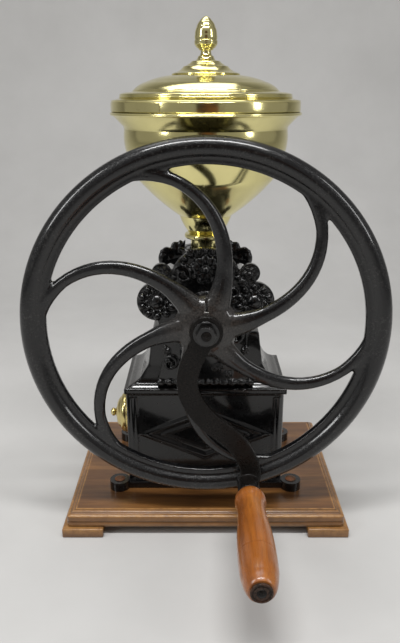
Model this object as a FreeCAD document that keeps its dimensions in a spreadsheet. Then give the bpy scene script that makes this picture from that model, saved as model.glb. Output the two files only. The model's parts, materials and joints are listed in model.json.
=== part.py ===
import FreeCAD, Part
import math
import os
import re

import Sketcher

# Counter coffee mill with one big flywheel, turned by a crank, on a wooden plinth.
# Millimetres.  +Z is up, the flywheel faces -Y and the drawer pulls out towards -X.
# The origin is the middle of the plinth's footprint, on the surface it stands on.

Vector = FreeCAD.Vector
Rotation = FreeCAD.Rotation
X_AXIS = Vector(1, 0, 0)
Y_AXIS = Vector(0, 1, 0)
UP = Rotation()
FRONT = Rotation(X_AXIS, 90)
BACK = Rotation(X_AXIS, -90)
LEFT = Rotation(Y_AXIS, -90)

# name: (value, what it is)
SIZES = {
    "axle_least": (256.5, "least height of the axle above the table"),
    "wheel_clear": (26.7, "least gap between the flywheel and the board"),
    "seat_gap": (0.05, "radial gap of a piece that sits still in a bore"),
    "run_gap": (0.06, "radial gap of a journal that turns in its bush"),
    "screw_gap": (0.1, "radial gap round a screw's shank"),
    # wooden plinth
    "board_length": (327, "plinth board, left to right"),
    "board_width": (240, "plinth board, front to back"),
    "board_edge": (15, "height of the board's upright edge"),
    "board_thick": (18.5, "whole thickness of the board"),
    "board_inset": (10.8, "how far the moulded top steps in"),
    "board_round": (3, "rounding of the moulded step"),
    "corner_round": (4, "rounding of the board's upright corners"),
    "foot_length": (48, "corner foot, left to right"),
    "foot_width": (45, "corner foot, front to back"),
    "foot_high": (11.3, "height of a corner foot"),
    "foot_proud": (5, "how far a foot stands out past the board"),
    # cast foot frame
    "frame_thick": (8.2, "thickness of the cast frame under the box"),
    "frame_reach": (66, "frame, centre to its front edge"),
    "frame_bar": (17, "width of the frame's front and rear bars"),
    "frame_side": (12, "width of the frame's side bars"),
    "lug_spread": (106.2, "screw lugs, centre line to lug, sideways"),
    "lug_depth": (62.6, "screw lugs, centre line to lug, front to back"),
    "lug_radius": (12.3, "screw lug"),
    "lug_high": (11.3, "screw lug height"),
    "board_screw": (2.6, "shank radius of the plinth screws"),
    "board_screw_head": (6.5, "head radius of the plinth screws"),
    "frame_screw": (2, "shank radius of the screws from frame to box"),
    # drawer box
    "box_length": (191, "drawer box, left to right"),
    "box_width": (109, "drawer box, front to back"),
    "box_high": (122, "drawer box height"),
    "box_wall": (5, "drawer box wall"),
    "box_floor": (4, "drawer box floor"),
    "box_round": (7, "rounding of the box's upright corners"),
    "cornice_proud": (2.5, "how far the cornice stands out"),
    "cornice_high": (7, "height of the cornice"),
    "lozenge_length": (160, "raised lozenge on the box front"),
    "lozenge_high": (66, "raised lozenge on the box front"),
    "lozenge_band": (5.5, "width of the lozenge's raised band"),
    "relief": (1.6, "height of the raised ornament"),
    # drawer
    "drawer_gap": (0.5, "gap round the drawer front"),
    "drawer_slack": (1, "gap between the tray and the box's side walls"),
    "tray_sheet": (1.5, "sheet thickness of the drawer tray"),
    "tray_high": (94, "drawer tray height"),
    "tray_length": (172, "drawer tray, left to right"),
    "front_thick": (5, "drawer front"),
    "knob_high": (64.5, "box underside to the knob's centre line"),
    "knob_radius": (29.2, "domed knob"),
    "knob_dome": (21.5, "how far the dome stands out"),
    "knob_shank": (3, "knob bolt"),
    "button_radius": (5.2, "round head of the knob bolt"),
    # mill housing
    "roof_length": (176, "roof above its cove, left to right"),
    "roof_width": (97, "roof above its cove, front to back"),
    "roof_cove": (10, "height of the cove above the box"),
    "roof_high": (68, "height of the concave roof"),
    "throat_length": (127, "top of the roof, left to right"),
    "throat_width": (86, "top of the roof, front to back"),
    "barrel_radius": (57.5, "round barrel about the axle"),
    "barrel_half": (50, "barrel, centre to either end"),
    "pier_half": (47, "half width of the pier under the barrel"),
    "burr_room": (42, "radius of the room that holds the ring burr"),
    "burr_room_end": (16, "centre to the shoulder behind the ring burr"),
    "bean_room": (32, "radius of the room that holds the feed screw"),
    "bean_room_end": (30, "centre to the rear wall"),
    "socket_radius": (28, "boss below the hopper"),
    "collar_radius": (24, "upper step of the boss"),
    "socket_least": (63.7, "least height of the boss's rim above the axle"),
    "socket_drop": (136.3, "flywheel's top down to the boss's rim, at most"),
    "socket_lip": (4.7, "height of the boss's upper step"),
    "crown_wide": (8, "width of the leaf collar's ring"),
    "crown_thick": (5, "height of the leaf collar's ring"),
    "crown_leaf": (6, "thickness of its leaves"),
    "neck_screw": (1.5, "shank radius of the screws that hold the hopper"),
    "feed_hole": (15, "radius of the hole under the hopper"),
    "chute_half": (25, "half length of the chute to the drawer"),
    "chute_near": (34, "centre to the chute's rear wall"),
    "chute_far": (45, "centre to the chute's front wall"),
    "housing_screw": (2.5, "shank radius of the screws from box to housing"),
    # front cover
    "cover_thick": (7, "ornamental cover"),
    "cover_disc": (47, "cover round the axle"),
    "lobe_spread": (56, "side lobes, axle to lobe, sideways"),
    "lobe_rise": (13.4, "side lobes above the axle"),
    "lobe_radius": (22.9, "side lobe"),
    "crest_rise": (35, "top lobe above the axle"),
    "crest_radius": (41, "top lobe"),
    "ball_spread": (58.5, "small lobes, sideways"),
    "ball_rise": (51.4, "small lobes above the axle"),
    "ball_radius": (11.3, "small lobe"),
    "boss_radius": (25, "bearing boss"),
    "boss_long": (29, "how far the bearing boss stands out"),
    "cover_bolt": (4, "shank radius of the cover bolts"),
    "cover_bolt_head": (9, "domed head of the cover bolts"),
    # bearings and axle
    "axle_radius": (8, "axle in its bushes"),
    "hub_seat": (7, "axle inside the flywheel hub"),
    "bush_radius": (11, "outside of the bushes"),
    "crank_square": (11, "square on the axle for the crank"),
    "stub_radius": (5, "threaded end of the axle"),
    # grinding parts
    "ring_thick": (18, "ring burr"),
    "ring_mouth": (25, "bean side of the ring burr"),
    "ring_exit": (34, "coffee side of the ring burr"),
    "grind_gap": (1, "gap between the burrs on the coffee side"),
    "cone_nose": (15, "bean side of the cone burr"),
    "tooth_count": (12, "teeth of each burr"),
    "feed_core": (11, "core of the feed screw"),
    "feed_flight": (25, "outside of the feed screw"),
    "feed_pitch": (15, "pitch of the feed screw"),
    # rear cover and adjustment
    "rear_cover_radius": (43, "rear cover"),
    "rear_cover_thick": (6, "rear cover"),
    "rear_boss": (16, "boss of the rear cover"),
    "rear_boss_long": (14, "length of that boss"),
    "pad_radius": (6, "thrust pad and adjusting screw"),
    "pad_thick": (6, "thrust pad"),
    "nut_thick": (7, "lock nut"),
    "thumb_radius": (15, "thumb wheel of the adjusting screw"),
    "thumb_thick": (10, "thumb wheel of the adjusting screw"),
    "thumb_gap": (6, "lock nut to thumb wheel"),
    # flywheel
    "wheel_radius": (200, "flywheel, axle to outer edge"),
    "wheel_plane": (108, "centre of the mill to the flywheel's middle plane"),
    "rim_round": (11, "radius of the round rim"),
    "lip_inset": (28, "flywheel's edge to the inner edge of the rim's flat lip"),
    "lip_thick": (10, "thickness of the lip"),
    "hub_radius": (31, "flywheel hub"),
    "hub_back": (18, "middle plane to the hub's rear face"),
    "spoke_count": (6, "curved spokes"),
    "spoke_wide": (19, "spoke width at the hub"),
    "spoke_narrow": (12.5, "spoke width at the rim"),
    "spoke_thick": (12, "spoke, front to back"),
    "key_width": (5, "key"),
    # crank
    "rim_gap": (1, "flywheel rim to crank arm"),
    "crank_reach": (187.3, "axle to handle pin"),
    "crank_lean": (14.9, "handle pin from straight down, degrees"),
    "crank_wide": (23, "crank arm width"),
    "crank_thick": (9, "crank arm thickness"),
    "crank_eye": (18, "crank eye"),
    "washer_thick": (2, "crank washer"),
    "washer_radius": (14, "crank washer"),
    "crank_nut_thick": (7.5, "crank nut"),
    "crank_nut_radius": (11, "crank nut, corner radius"),
    # handle
    "spindle_radius": (4.5, "handle spindle"),
    "spindle_collar": (3, "length of the spindle's collar"),
    "pin_boss": (12.5, "lower eye of the crank"),
    "pin_boss_long": (22, "how far that eye stands out from the arm"),
    "grip_long": (148, "wooden grip"),
    "grip_start": (14.5, "grip radius at the crank"),
    "grip_bead": (17, "grip radius at its bead"),
    "grip_neck": (15, "grip radius at its neck"),
    "grip_belly": (19, "grip radius at its widest"),
    "grip_end": (12.5, "grip radius at its end"),
    "grip_play": (0.3, "end play of the grip"),
    "cap_radius": (10.5, "washer at the grip's end"),
    "cap_thick": (2.5, "washer at the grip's end"),
    # hopper
    "brass": (1.4, "thickness of the brass sheet"),
    "neck_radius": (18.8, "hopper neck"),
    "neck_sunk": (15.5, "how deep the neck stands in its socket"),
    "neck_high": (18.5, "socket rim to the top of the neck"),
    "cone_radius": (30.8, "hopper where its cone starts"),
    "cone_high": (40, "socket rim to that place"),
    "shoulder_radius": (79, "hopper where its cone ends"),
    "shoulder_high": (83.1, "socket rim to that place"),
    "belly_radius": (90.9, "hopper above its shoulder"),
    "belly_high": (108.8, "socket rim to that place"),
    "bowl_radius": (93, "hopper below its flare"),
    "bowl_high": (140.6, "socket rim to that place"),
    "lip_outer": (107.1, "hopper's rim"),
    "rim_high": (151.9, "socket rim to the underside of the hopper's rim"),
    "rim_thick": (4.1, "hopper's rim"),
    "neck_ring": (24.7, "ring round the hopper neck"),
    "neck_ring_high": (5.6, "ring round the hopper neck"),
    # lid
    "lid_gap": (0.3, "lid above the hopper's rim"),
    "skirt_long": (9, "lid skirt below the rim"),
    "band_radius": (105.8, "lid band"),
    "band_high": (11.8, "lid band"),
    "ring_radius": (95, "raised ring on the lid"),
    "ring_low": (14.4, "hopper rim to the foot of the raised ring"),
    "ring_top": (19.2, "hopper rim to the top of the raised ring"),
    "dome_radius": (80.4, "foot of the dome"),
    "dome_low": (21.8, "hopper rim to the foot of the dome"),
    "dome_mid": (66.7, "dome where it flattens"),
    "dome_mid_high": (31.3, "hopper rim to that place"),
    "dome_high": (38.3, "hopper rim to the top of the dome"),
    "cap_base": (37.7, "raised cap on the dome"),
    "cap_high": (13.3, "raised cap on the dome"),
    "finial_foot": (16.5, "foot of the finial"),
    "finial_high": (46.8, "finial above the cap"),
    "finial_belly": (12.7, "widest part of the acorn"),
    "stem_radius": (4, "stem of the finial"),
    # sizes that follow from others
    "axle_height": ("=max(axle_least; foot_high + board_thick + wheel_clear + wheel_radius)",
                    "table to the axle's centre line"),
    "lip_radius": ("=wheel_radius - lip_inset", "inner edge of the rim's flat lip"),
    "socket_top": ("=max(socket_least; wheel_radius - socket_drop)", "axle to the boss's rim"),
    "socket_step": ("=socket_top - socket_lip", "axle to the boss's step"),
}

doc = FreeCAD.newDocument("CoffeeMill")
sheet = doc.addObject("Spreadsheet::Sheet", "Sizes")
for row, (alias, (value, note)) in enumerate(SIZES.items(), start=1):
    sheet.set("A%d" % row, alias)
    sheet.set("B%d" % row, str(value))
    sheet.set("C%d" % row, note)
    sheet.setAlias("B%d" % row, alias)
doc.recompute()

PIECES = []


def bound(text):
    """The expression with each size's name written the way the document reads it."""
    return re.sub("[a-z_]+", lambda word: "Sizes." + word[0] if word[0] in SIZES else word[0], str(text))


def size(text):
    """The value of an expression of sizes."""
    return float(sheet.evalExpression(bound(text)))


def bind(item, **properties):
    for name, text in properties.items():
        item.setExpression(name, bound(text))


def place(item, x=0, y=0, z=0, turn=UP):
    """Puts an object at a place that follows the sizes."""
    item.Placement = FreeCAD.Placement(Vector(size(x), size(y), size(z)), turn)
    for axis, text in zip("xyz", (x, y, z)):
        item.setExpression("Placement.Base." + axis, bound(text))
    return item


def block(name, x, y, z, length, width, height):
    """A block from its low corner."""
    item = doc.addObject("Part::Box", name)
    bind(item, Length=length, Width=width, Height=height)
    return place(item, x, y, z)


def middle_block(name, y, z, length, width, height):
    """A block that is centred on x = 0."""
    return block(name, "-(%s)/2" % length, y, z, length, width, height)


def rod(name, x, y, z, radius, height, turn=UP):
    item = doc.addObject("Part::Cylinder", name)
    bind(item, Radius=radius, Height=height)
    return place(item, x, y, z, turn)


def prism(name, x, y, z, sides, radius, height, turn=UP):
    item = doc.addObject("Part::Prism", name)
    item.Polygon = sides
    bind(item, Circumradius=radius, Height=height)
    return place(item, x, y, z, turn)


def fuse(name, parts):
    item = doc.addObject("Part::MultiFuse", name)
    item.Shapes = parts
    return item


def cut(name, base, tools):
    """The base with every tool taken away."""
    item = doc.addObject("Part::Cut", name)
    item.Base = base
    item.Tool = tools[0] if len(tools) == 1 else fuse(name + "Tools", tools)
    return item


def group(name, parts):
    """Loose solids that share one node."""
    item = doc.addObject("Part::Compound", name)
    item.Links = parts
    return item


def piece(label, item):
    """Names a finished sub-part; its label is the name of its file."""
    item.Label = label
    PIECES.append(item)
    return item


def plane_of(body, role):
    return [f for f in body.Origin.OriginFeatures if f.Role == role][0]


def arc_between(start, end, bulge):
    """The arc that bows out by the bulge, and whether the sketch takes start as its end 1 or 2."""
    along = end - start
    radius = along.Length ** 2 / 8 / abs(bulge) + abs(bulge) / 2
    right = Vector(along.y, -along.x, 0).normalize()
    centre = (start + end) / 2 - right * math.copysign(radius - abs(bulge), bulge)
    angles = [math.atan2(point.y - centre.y, point.x - centre.x) for point in (start, end)]
    if bulge < 0:
        angles.reverse()
    if angles[1] < angles[0]:
        angles[1] += 2 * math.pi
    circle = Part.Circle(centre, Vector(0, 0, 1), radius)
    return Part.ArcOfCircle(circle, *angles), 1 if bulge > 0 else 2


def outline_sketch(sketch, outline):
    """Draws a closed outline of (x, y) or (x, y, bulge) corners, each bound to the sizes.

    The bulge is how far the side to the next corner bows out, on the right of its travel.
    """
    corners = [Vector(size(c[0]), size(c[1]), 0) for c in outline]
    count = len(corners)
    sides = []
    first = []
    for i, corner in enumerate(outline):
        start, end = corners[i], corners[(i + 1) % count]
        side, number = Part.LineSegment(start, end), 1
        if len(corner) == 3:
            side, number = arc_between(start, end, size(corner[2]))
        sides.append(sketch.addGeometry(side, False))
        first.append(number)
    rules = []
    formulas = []
    for i, corner in enumerate(outline):
        j = (i + 1) % count
        rules.append(Sketcher.Constraint("Coincident", sides[i], 3 - first[i], sides[j], first[j]))
        formulas.append(None)
        for kind, text, value in (("DistanceX", corner[0], corners[i].x), ("DistanceY", corner[1],
                                                                           corners[i].y)):
            rules.append(Sketcher.Constraint(kind, -1, 1, sides[i], first[i], value))
            formulas.append(text)
        if len(corner) == 3:
            chord = "((%s)-(%s))^2+((%s)-(%s))^2" % (corner[0], outline[j][0], corner[1], outline[j][1])
            radius = "(%s)/8/abs(%s)+abs(%s)/2" % (chord, corner[2], corner[2])
            rules.append(Sketcher.Constraint("Radius", sides[i], sketch.Geometry[sides[i]].Radius))
            formulas.append(radius)
    sketch.addConstraint(rules)
    for number, formula in enumerate(formulas):
        if formula is not None:
            sketch.setExpression("Constraints[%d]" % number, bound(formula))


def body_sketch(name, outline, role):
    body = doc.addObject("PartDesign::Body", name)
    sketch = body.newObject("Sketcher::SketchObject", name + "Outline")
    sketch.AttachmentSupport = [(plane_of(body, role), "")]
    sketch.MapMode = "FlatFace"
    outline_sketch(sketch, outline)
    return body, sketch


def turned(name, outline, x=0, y=0, z=0, turn=UP):
    """A turned piece: (radius, height) corners, up the outside and down the inside."""
    body, sketch = body_sketch(name, outline, "XZ_Plane")
    spin = body.newObject("PartDesign::Revolution", name + "Turning")
    spin.Profile = sketch
    spin.ReferenceAxis = (sketch, ["V_Axis"])
    spin.Angle = 360
    return place(body, x, y, z, turn)


def padded(name, outline, thick, x=0, y=0, z=0, turn=UP):
    """A flat piece: its outline, thickened along the way that it is turned to face."""
    body, sketch = body_sketch(name, outline, "XY_Plane")
    pad = body.newObject("PartDesign::Pad", name + "Pad")
    pad.Profile = sketch
    bind(pad, Length=thick)
    return place(body, x, y, z, turn)


def rectangle(half_x, half_y):
    return [("-(%s)" % half_x, "-(%s)" % half_y), (half_x, "-(%s)" % half_y), (half_x, half_y),
            ("-(%s)" % half_x, half_y)]


def tube(name, inner, outer, height, x=0, y=0, z=0, turn=UP):
    corners = [(inner, 0), (outer, 0), (outer, height), (inner, height)]
    return turned(name, corners, x, y, z, turn)


def cap_bulge(radius, rise):
    """How far the side of a ball-shaped cap bows out between its edge and its top."""
    ball = "((%s)^2+(%s)^2)/2/(%s)" % (radius, rise, rise)
    return "(%s)*(1-cos(asin((%s)/(%s))/2))" % (ball, radius, ball)


def domed_bolt(name, shank, head, dome, length, x, y, z, turn):
    """A bolt with a low round head; its seat is at height 0 and its shank points down."""
    corners = [(0, "-(%s)" % length), (shank, "-(%s)" % length), (shank, 0), (head, 0),
               (head, "%s/4" % dome, cap_bulge(head, "%s*3/4" % dome)), (0, dome)]
    return turned(name, corners, x, y, z, turn)


def hexagon_nut(name, bore, corner_radius, thick, x, y, z, turn):
    nut = prism(name + "Hexagon", x, y, z, 6, corner_radius, thick, turn)
    return cut(name, nut, [rod(name + "Bore", x, y, z, bore, thick, turn)])


def at_corners(make, half_x, half_y):
    """Calls make(index, x, y) for the four corners of a rectangle."""
    signs = (("-", "-"), ("", "-"), ("-", ""), ("", ""))
    return [make(i, "%s(%s)" % (sx, half_x), "%s(%s)" % (sy, half_y)) for i, (sx, sy) in enumerate(signs)]


# Heights and depths that several pieces share.
BOARD_TOP = "foot_high+board_thick"
BOX_BASE = "foot_high+board_thick+frame_thick"
BOX_TOP = BOX_BASE + "+box_high"
SOCKET_RIM = "axle_height+socket_top"
HOPPER_RIM = SOCKET_RIM + "+rim_high+rim_thick"
DOME_TOP = HOPPER_RIM + "+dome_high"
CROWN_MIDDLE = "axle_height+socket_step+crown_thick/2"
COVER_FACE = "barrel_half+cover_thick"
ARM_BACK = "wheel_plane+rim_round+rim_gap"
ARM_FRONT = ARM_BACK + "+crank_thick"
REAR_BOSS_END = "barrel_half+rear_cover_thick+rear_boss_long"
PIN_X = "crank_reach*sin(crank_lean*1deg)"
PIN_DROP = "crank_reach*cos(crank_lean*1deg)"


def plinth():
    """Moulded wooden board on four corner feet."""
    lower = padded("BoardLower", rectangle("board_length/2", "board_width/2"), "board_edge", z="foot_high")
    doc.recompute()
    corners = lower.newObject("PartDesign::Fillet", "BoardCorners")
    edges = [i + 1 for i, e in enumerate(lower.Shape.Edges) if abs(e.tangentAt(e.FirstParameter).z) > 0.9]
    corners.Base = (lower.Tip if lower.Tip != corners else lower.Group[-2], ["Edge%d" % i for i in edges])
    bind(corners, Radius="corner_round")
    lower.Tip = corners
    half_x = "board_length/2-board_inset"
    half_y = "board_width/2-board_inset"
    upper = padded("BoardUpper", rectangle(half_x, half_y), "board_thick", z="foot_high")
    cove = padded("BoardStep", rectangle(half_x + "+board_round*2", half_y + "+board_round*2"),
                  "(board_edge+board_thick)/2", z="foot_high")
    whole = fuse("BoardBlank", [lower, cove, upper])

    def pilot(i, x, y):
        return rod("Pilot%d" % i, x, y, BOARD_TOP + "-13", "board_screw+screw_gap", 14)

    piece("base_board", cut("Board", whole, at_corners(pilot, "lug_spread", "lug_depth")))
    names = ("front_left_foot", "front_right_foot", "rear_left_foot", "rear_right_foot")

    def foot(i, x, y):
        low_x = x if x.startswith("-") else x + "-foot_length"
        low_y = y if y.startswith("-") else y + "-foot_width"
        blank = block("FootBlank%d" % i, low_x, low_y, 0, "foot_length", "foot_width", "foot_high")
        rounded = doc.addObject("Part::Fillet", "Foot%d" % i)
        rounded.Base = blank
        doc.recompute()
        upright = [n + 1 for n,
                   e in enumerate(blank.Shape.Edges) if abs(e.tangentAt(e.FirstParameter).z) > 0.9]
        rounded.Edges = [(n, size("board_round"), size("board_round")) for n in upright]
        return piece(names[i], rounded)

    at_corners(foot, "board_length/2+foot_proud", "board_width/2+foot_proud")


def foot_frame():
    """Cast frame with four screw lugs that carries the drawer box."""
    outer = middle_block("FrameOuter", "-frame_reach", BOARD_TOP, "box_length", "2*frame_reach",
                         "frame_thick")
    inner = middle_block("FrameInner", "frame_bar-frame_reach", BOARD_TOP, "box_length-2*frame_side",
                         "2*(frame_reach-frame_bar)", "frame_thick")
    ring = cut("FrameRing", outer, [inner])

    def lug(i, x, y):
        return rod("Lug%d" % i, x, y, BOARD_TOP, "lug_radius", "lug_high")

    def lug_hole(i, x, y):
        return rod("LugHole%d" % i, x, y, BOARD_TOP, "board_screw+screw_gap", "lug_high")

    def frame_hole(i, x, y):
        return rod("FrameHole%d" % i, x, y, BOARD_TOP, "frame_screw+screw_gap", "frame_thick")

    def frame_sink(i, x, y):
        return rod("FrameSink%d" % i, x, y, BOARD_TOP, "frame_screw*2+screw_gap", "frame_thick/2")

    lugs = at_corners(lug, "lug_spread", "lug_depth")
    side = "box_length/2-frame_side*0.7"
    holes = at_corners(lug_hole, "lug_spread", "lug_depth")
    holes += at_corners(frame_hole, side, 30)
    holes += at_corners(frame_sink, side, 30)
    piece("foot_frame", cut("Frame", fuse("FrameBlank", [ring] + lugs), holes))

    def board_screw(i, x, y):
        return domed_bolt("BoardScrew%d" % i, "board_screw", "board_screw_head", 3.2, "lug_high+12",
                          x, y, BOARD_TOP + "+lug_high", UP)

    piece("board_screws", group("BoardScrews", at_corners(board_screw, "lug_spread", "lug_depth")))

    def frame_screw(i, x, y):
        corners = [(0, 0.3), ("frame_screw*2", 0.3), ("frame_screw*2", "frame_thick/2"),
                   ("frame_screw", "frame_thick/2"), ("frame_screw", "frame_thick+box_floor-0.5"),
                   (0, "frame_thick+box_floor-0.5")]
        return turned("FrameScrew%d" % i, corners, x, y, BOARD_TOP)

    piece("frame_screws", group("FrameScrews", at_corners(frame_screw, side, 30)))


def drawer_box():
    """Cast box, open on the left for the drawer, with a cornice and a raised lozenge."""
    half_x = "box_length/2"
    half_y = "box_width/2"
    shell = padded("BoxBlank", rectangle(half_x, half_y), "box_high", z=BOX_BASE)
    doc.recompute()
    rounding = shell.newObject("PartDesign::Fillet", "BoxCorners")
    upright = [i + 1 for i, e in enumerate(shell.Shape.Edges)
               if abs(e.tangentAt(e.FirstParameter).z) > 0.9 and e.CenterOfMass.x > 0]
    rounding.Base = (shell.Group[-2], ["Edge%d" % i for i in upright])
    bind(rounding, Radius="box_round")
    shell.Tip = rounding
    cornice = middle_block("Cornice", "-(box_width/2+cornice_proud)", BOX_TOP + "-cornice_high",
                           "box_length+2*cornice_proud", "box_width+2*cornice_proud", "cornice_high")
    half_band = "lozenge_band"
    outer = [("-lozenge_length/2", 0), (0, "-lozenge_high/2"), ("lozenge_length/2", 0), (0,
                                                                                         "lozenge_high/2")]
    inner = [("-lozenge_length/2+%s*2.4" % half_band, 0), (0, "-lozenge_high/2+%s*1.1" % half_band),
             ("lozenge_length/2-%s*2.4" % half_band, 0), (0, "lozenge_high/2-%s*1.1" % half_band)]
    middle = BOX_BASE + "+box_high/2"
    ornament = []
    for tag, turn, face in (("Front", FRONT, "-box_width/2"), ("Rear", BACK, "box_width/2")):
        lozenge = padded(tag + "Lozenge", outer, "relief", 0, face, middle, turn)
        window = padded(tag + "LozengeWindow", inner, "relief", 0, face, middle, turn)
        ornament.append(cut(tag + "LozengeBand", lozenge, [window]))
        ornament.append(rod(tag + "Boss", 0, face, middle, 3.5, "relief*1.5", turn))
    whole = fuse("BoxSolid", [shell, cornice] + ornament)
    cavity = block("BoxCavity", "-box_length/2-cornice_proud-1", "-box_width/2+box_wall",
                   BOX_BASE + "+box_floor",
                   "box_length+cornice_proud+1-box_wall", "box_width-2*box_wall",
                   "box_high-box_floor-box_wall")
    chute = block("BoxChute", "-chute_half", "-chute_far", BOX_TOP + "-box_wall-1", "2*chute_half",
                  "chute_far-chute_near", "box_wall+2")

    def floor_hole(i, x, y):
        return rod("FloorHole%d" % i, x, y, BOX_BASE, "frame_screw+screw_gap", "box_floor")

    def roof_hole(i, x, y):
        return rod("RoofHole%d" % i, x, y, BOX_TOP + "-box_wall-1", "housing_screw+screw_gap", "box_wall+2")

    tools = [cavity, chute] + at_corners(floor_hole, "box_length/2-frame_side*0.7", 30)
    tools += at_corners(roof_hole, "throat_length/2-4", 33)
    piece("drawer_box", cut("DrawerBox", whole, tools))

    def housing_screw(i, x, y):
        return domed_bolt("HousingScrew%d" % i, "housing_screw", "housing_screw*2", 3, "box_wall+12",
                          x, y, BOX_TOP + "-box_wall", Rotation(X_AXIS, 180))

    piece("housing_screws", group("HousingScrews", at_corners(housing_screw, "throat_length/2-4", 33)))


def roof_section(name, half_x, half_y, height):
    sketch = doc.addObject("Sketcher::SketchObject", name)
    outline_sketch(sketch, rectangle(half_x, half_y))
    return place(sketch, 0, 0, height)


def mill_housing():
    """One casting: concave roof, barrel for the burrs, and the socket of the hopper."""
    steps = [("box_length/2", "box_width/2", "0"), ("roof_length/2-3", "roof_width/2-1", "roof_cove*0.5"),
             ("roof_length/2-9", "roof_width/2-2", "roof_cove"),
             ("throat_length/2+5", "throat_width/2+1.5", "roof_cove+(roof_high-roof_cove)*0.3"),
             ("throat_length/2", "throat_width/2", "roof_high")]
    sections = [roof_section("RoofSection%d" % i, sx, sy, BOX_TOP + "+" + rise)
                for i, (sx, sy, rise) in enumerate(steps)]
    roof = doc.addObject("Part::Loft", "Roof")
    roof.Sections = sections
    roof.Solid = True
    roof.Ruled = True
    pier_top = "axle_height-(%s)" % BOX_TOP
    pier = middle_block("Pier", "-barrel_half", BOX_TOP, "2*pier_half", "2*barrel_half", pier_top)
    barrel = rod("Barrel", 0, "barrel_half", "axle_height", "barrel_radius", "2*barrel_half", FRONT)
    boss = rod("SocketBoss", 0, 0, "axle_height", "socket_radius", "socket_step")
    collar = rod("SocketCollar", 0, 0, "axle_height", "collar_radius", "socket_top")
    ears = [rod("Ear%d" % i, side + "lobe_spread", "28-barrel_half", "axle_height+lobe_rise", 14, 28, FRONT)
            for i, side in enumerate(("-", ""))]
    blank = fuse("HousingBlank", [roof, pier, barrel, boss, collar] + ears)
    burr_room = rod("BurrRoom", 0, "-burr_room_end", "axle_height", "burr_room",
                    "barrel_half-burr_room_end+1", FRONT)
    bean_room = rod("BeanRoom", 0, "bean_room_end", "axle_height", "bean_room",
                    "bean_room_end+burr_room_end+1", FRONT)
    rear_bore = rod("RearBore", 0, "barrel_half+1", "axle_height", "bush_radius+seat_gap", "barrel_half",
                    FRONT)
    feed = rod("FeedHole", 0, 0, "axle_height", "feed_hole", "socket_top")
    socket = rod("SocketBore", 0, 0, SOCKET_RIM + "-neck_sunk-0.5", "neck_radius+seat_gap", "neck_sunk+1.5")
    chute = block("HousingChute", "-chute_half", "-chute_far", BOX_TOP + "-1", "2*chute_half",
                  "chute_far-chute_near", "axle_height-burr_room-(%s)+14" % BOX_TOP)
    bolt_holes = [rod("EarHole%d" % i, side + "lobe_spread", "26-barrel_half", "axle_height+lobe_rise",
                      "cover_bolt+screw_gap", 27, FRONT) for i, side in enumerate(("-", ""))]

    def screw_hole(i, x, y):
        return rod("HousingHole%d" % i, x, y, BOX_TOP + "-1", "housing_screw+screw_gap", 14)

    tools = [burr_room, bean_room, rear_bore, feed, socket, chute] + bolt_holes
    tools += at_corners(screw_hole, "throat_length/2-4", 33)
    tools += ring_places("RingHole", 38, lambda name, x, z: rod(
        name, x, "-burr_room_end-1", z, "1.5+screw_gap", 10, BACK))
    tools += ring_places("RearHole", 33, lambda name, x, z: rod(
        name, x, "barrel_half-12", z, "2+screw_gap", 13, BACK))
    tools.append(neck_hole("NeckHole"))
    piece("mill_housing", cut("Housing", blank, tools))


def neck_hole(name):
    """The cross hole of the two screws that hold the leaf collar and the hopper's neck."""
    reach = "collar_radius+crown_wide+1"
    return rod(name, 0, reach, CROWN_MIDDLE, "neck_screw+screw_gap", "2*(%s)" % reach, FRONT)


def ring_places(name, radius, make):
    """Three places on a circle about the axle."""
    made = []
    for i in range(3):
        x = "%s*cos(%ddeg)" % (radius, 30 + 120 * i)
        z = "axle_height+%s*sin(%ddeg)" % (radius, 30 + 120 * i)
        made.append(make("%s%d" % (name, i), x, z))
    return made


def front_cover():
    """Ornamental cover that closes the burr room and holds the front bush."""
    face = "-barrel_half"
    skirt_top = "0"
    skirt_low = "-(axle_height-(%s)-roof_cove*0.7)" % BOX_TOP
    skirt = padded("CoverSkirt", [("-58", skirt_low), ("58", skirt_low, "-5"), ("50", skirt_top),
                                  ("-50", skirt_top, "-5")], "cover_thick", 0, face, "axle_height", FRONT)
    discs = [("CoverDisc", "0", "0", "cover_disc"), ("CoverCrest", "0", "crest_rise", "crest_radius")]
    for tag, side in (("Left", "-"), ("Right", "")):
        discs.append(("CoverLobe" + tag, side + "lobe_spread", "lobe_rise", "lobe_radius"))
        discs.append(("CoverBall" + tag, side + "ball_spread*0.86", "ball_rise-5", "ball_radius"))
    parts = [rod(name, x, face, "axle_height+" + rise, radius, "cover_thick", FRONT)
             for name, x, rise, radius in discs]
    parts.append(rod("CoverBoss", 0, face, "axle_height", "boss_radius", "cover_thick+boss_long", FRONT))
    holes = [rod("CoverBore", 0, "1-barrel_half", "axle_height", "bush_radius+seat_gap",
                 "cover_thick+boss_long+2", FRONT)]
    bolts = []
    for i, side in enumerate(("-", "")):
        x, z = side + "lobe_spread", "axle_height+lobe_rise"
        holes.append(rod("CoverHole%d" % i, x, face, z, "cover_bolt+screw_gap", "cover_thick", FRONT))
        bolts.append(domed_bolt("CoverBolt%d" % i, "cover_bolt", "cover_bolt_head", 6.5, "cover_thick+22",
                                x, "-(%s)" % COVER_FACE, z, FRONT))
    piece("front_cover", cut("FrontCover", fuse("CoverBlank", [skirt] + parts), holes))
    piece("cover_bolts", group("CoverBolts", bolts))
    piece("front_bush", tube("FrontBush", "axle_radius+run_gap", "bush_radius", "cover_thick+boss_long+3",
                             0, "4-barrel_half", "axle_height", FRONT))


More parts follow.
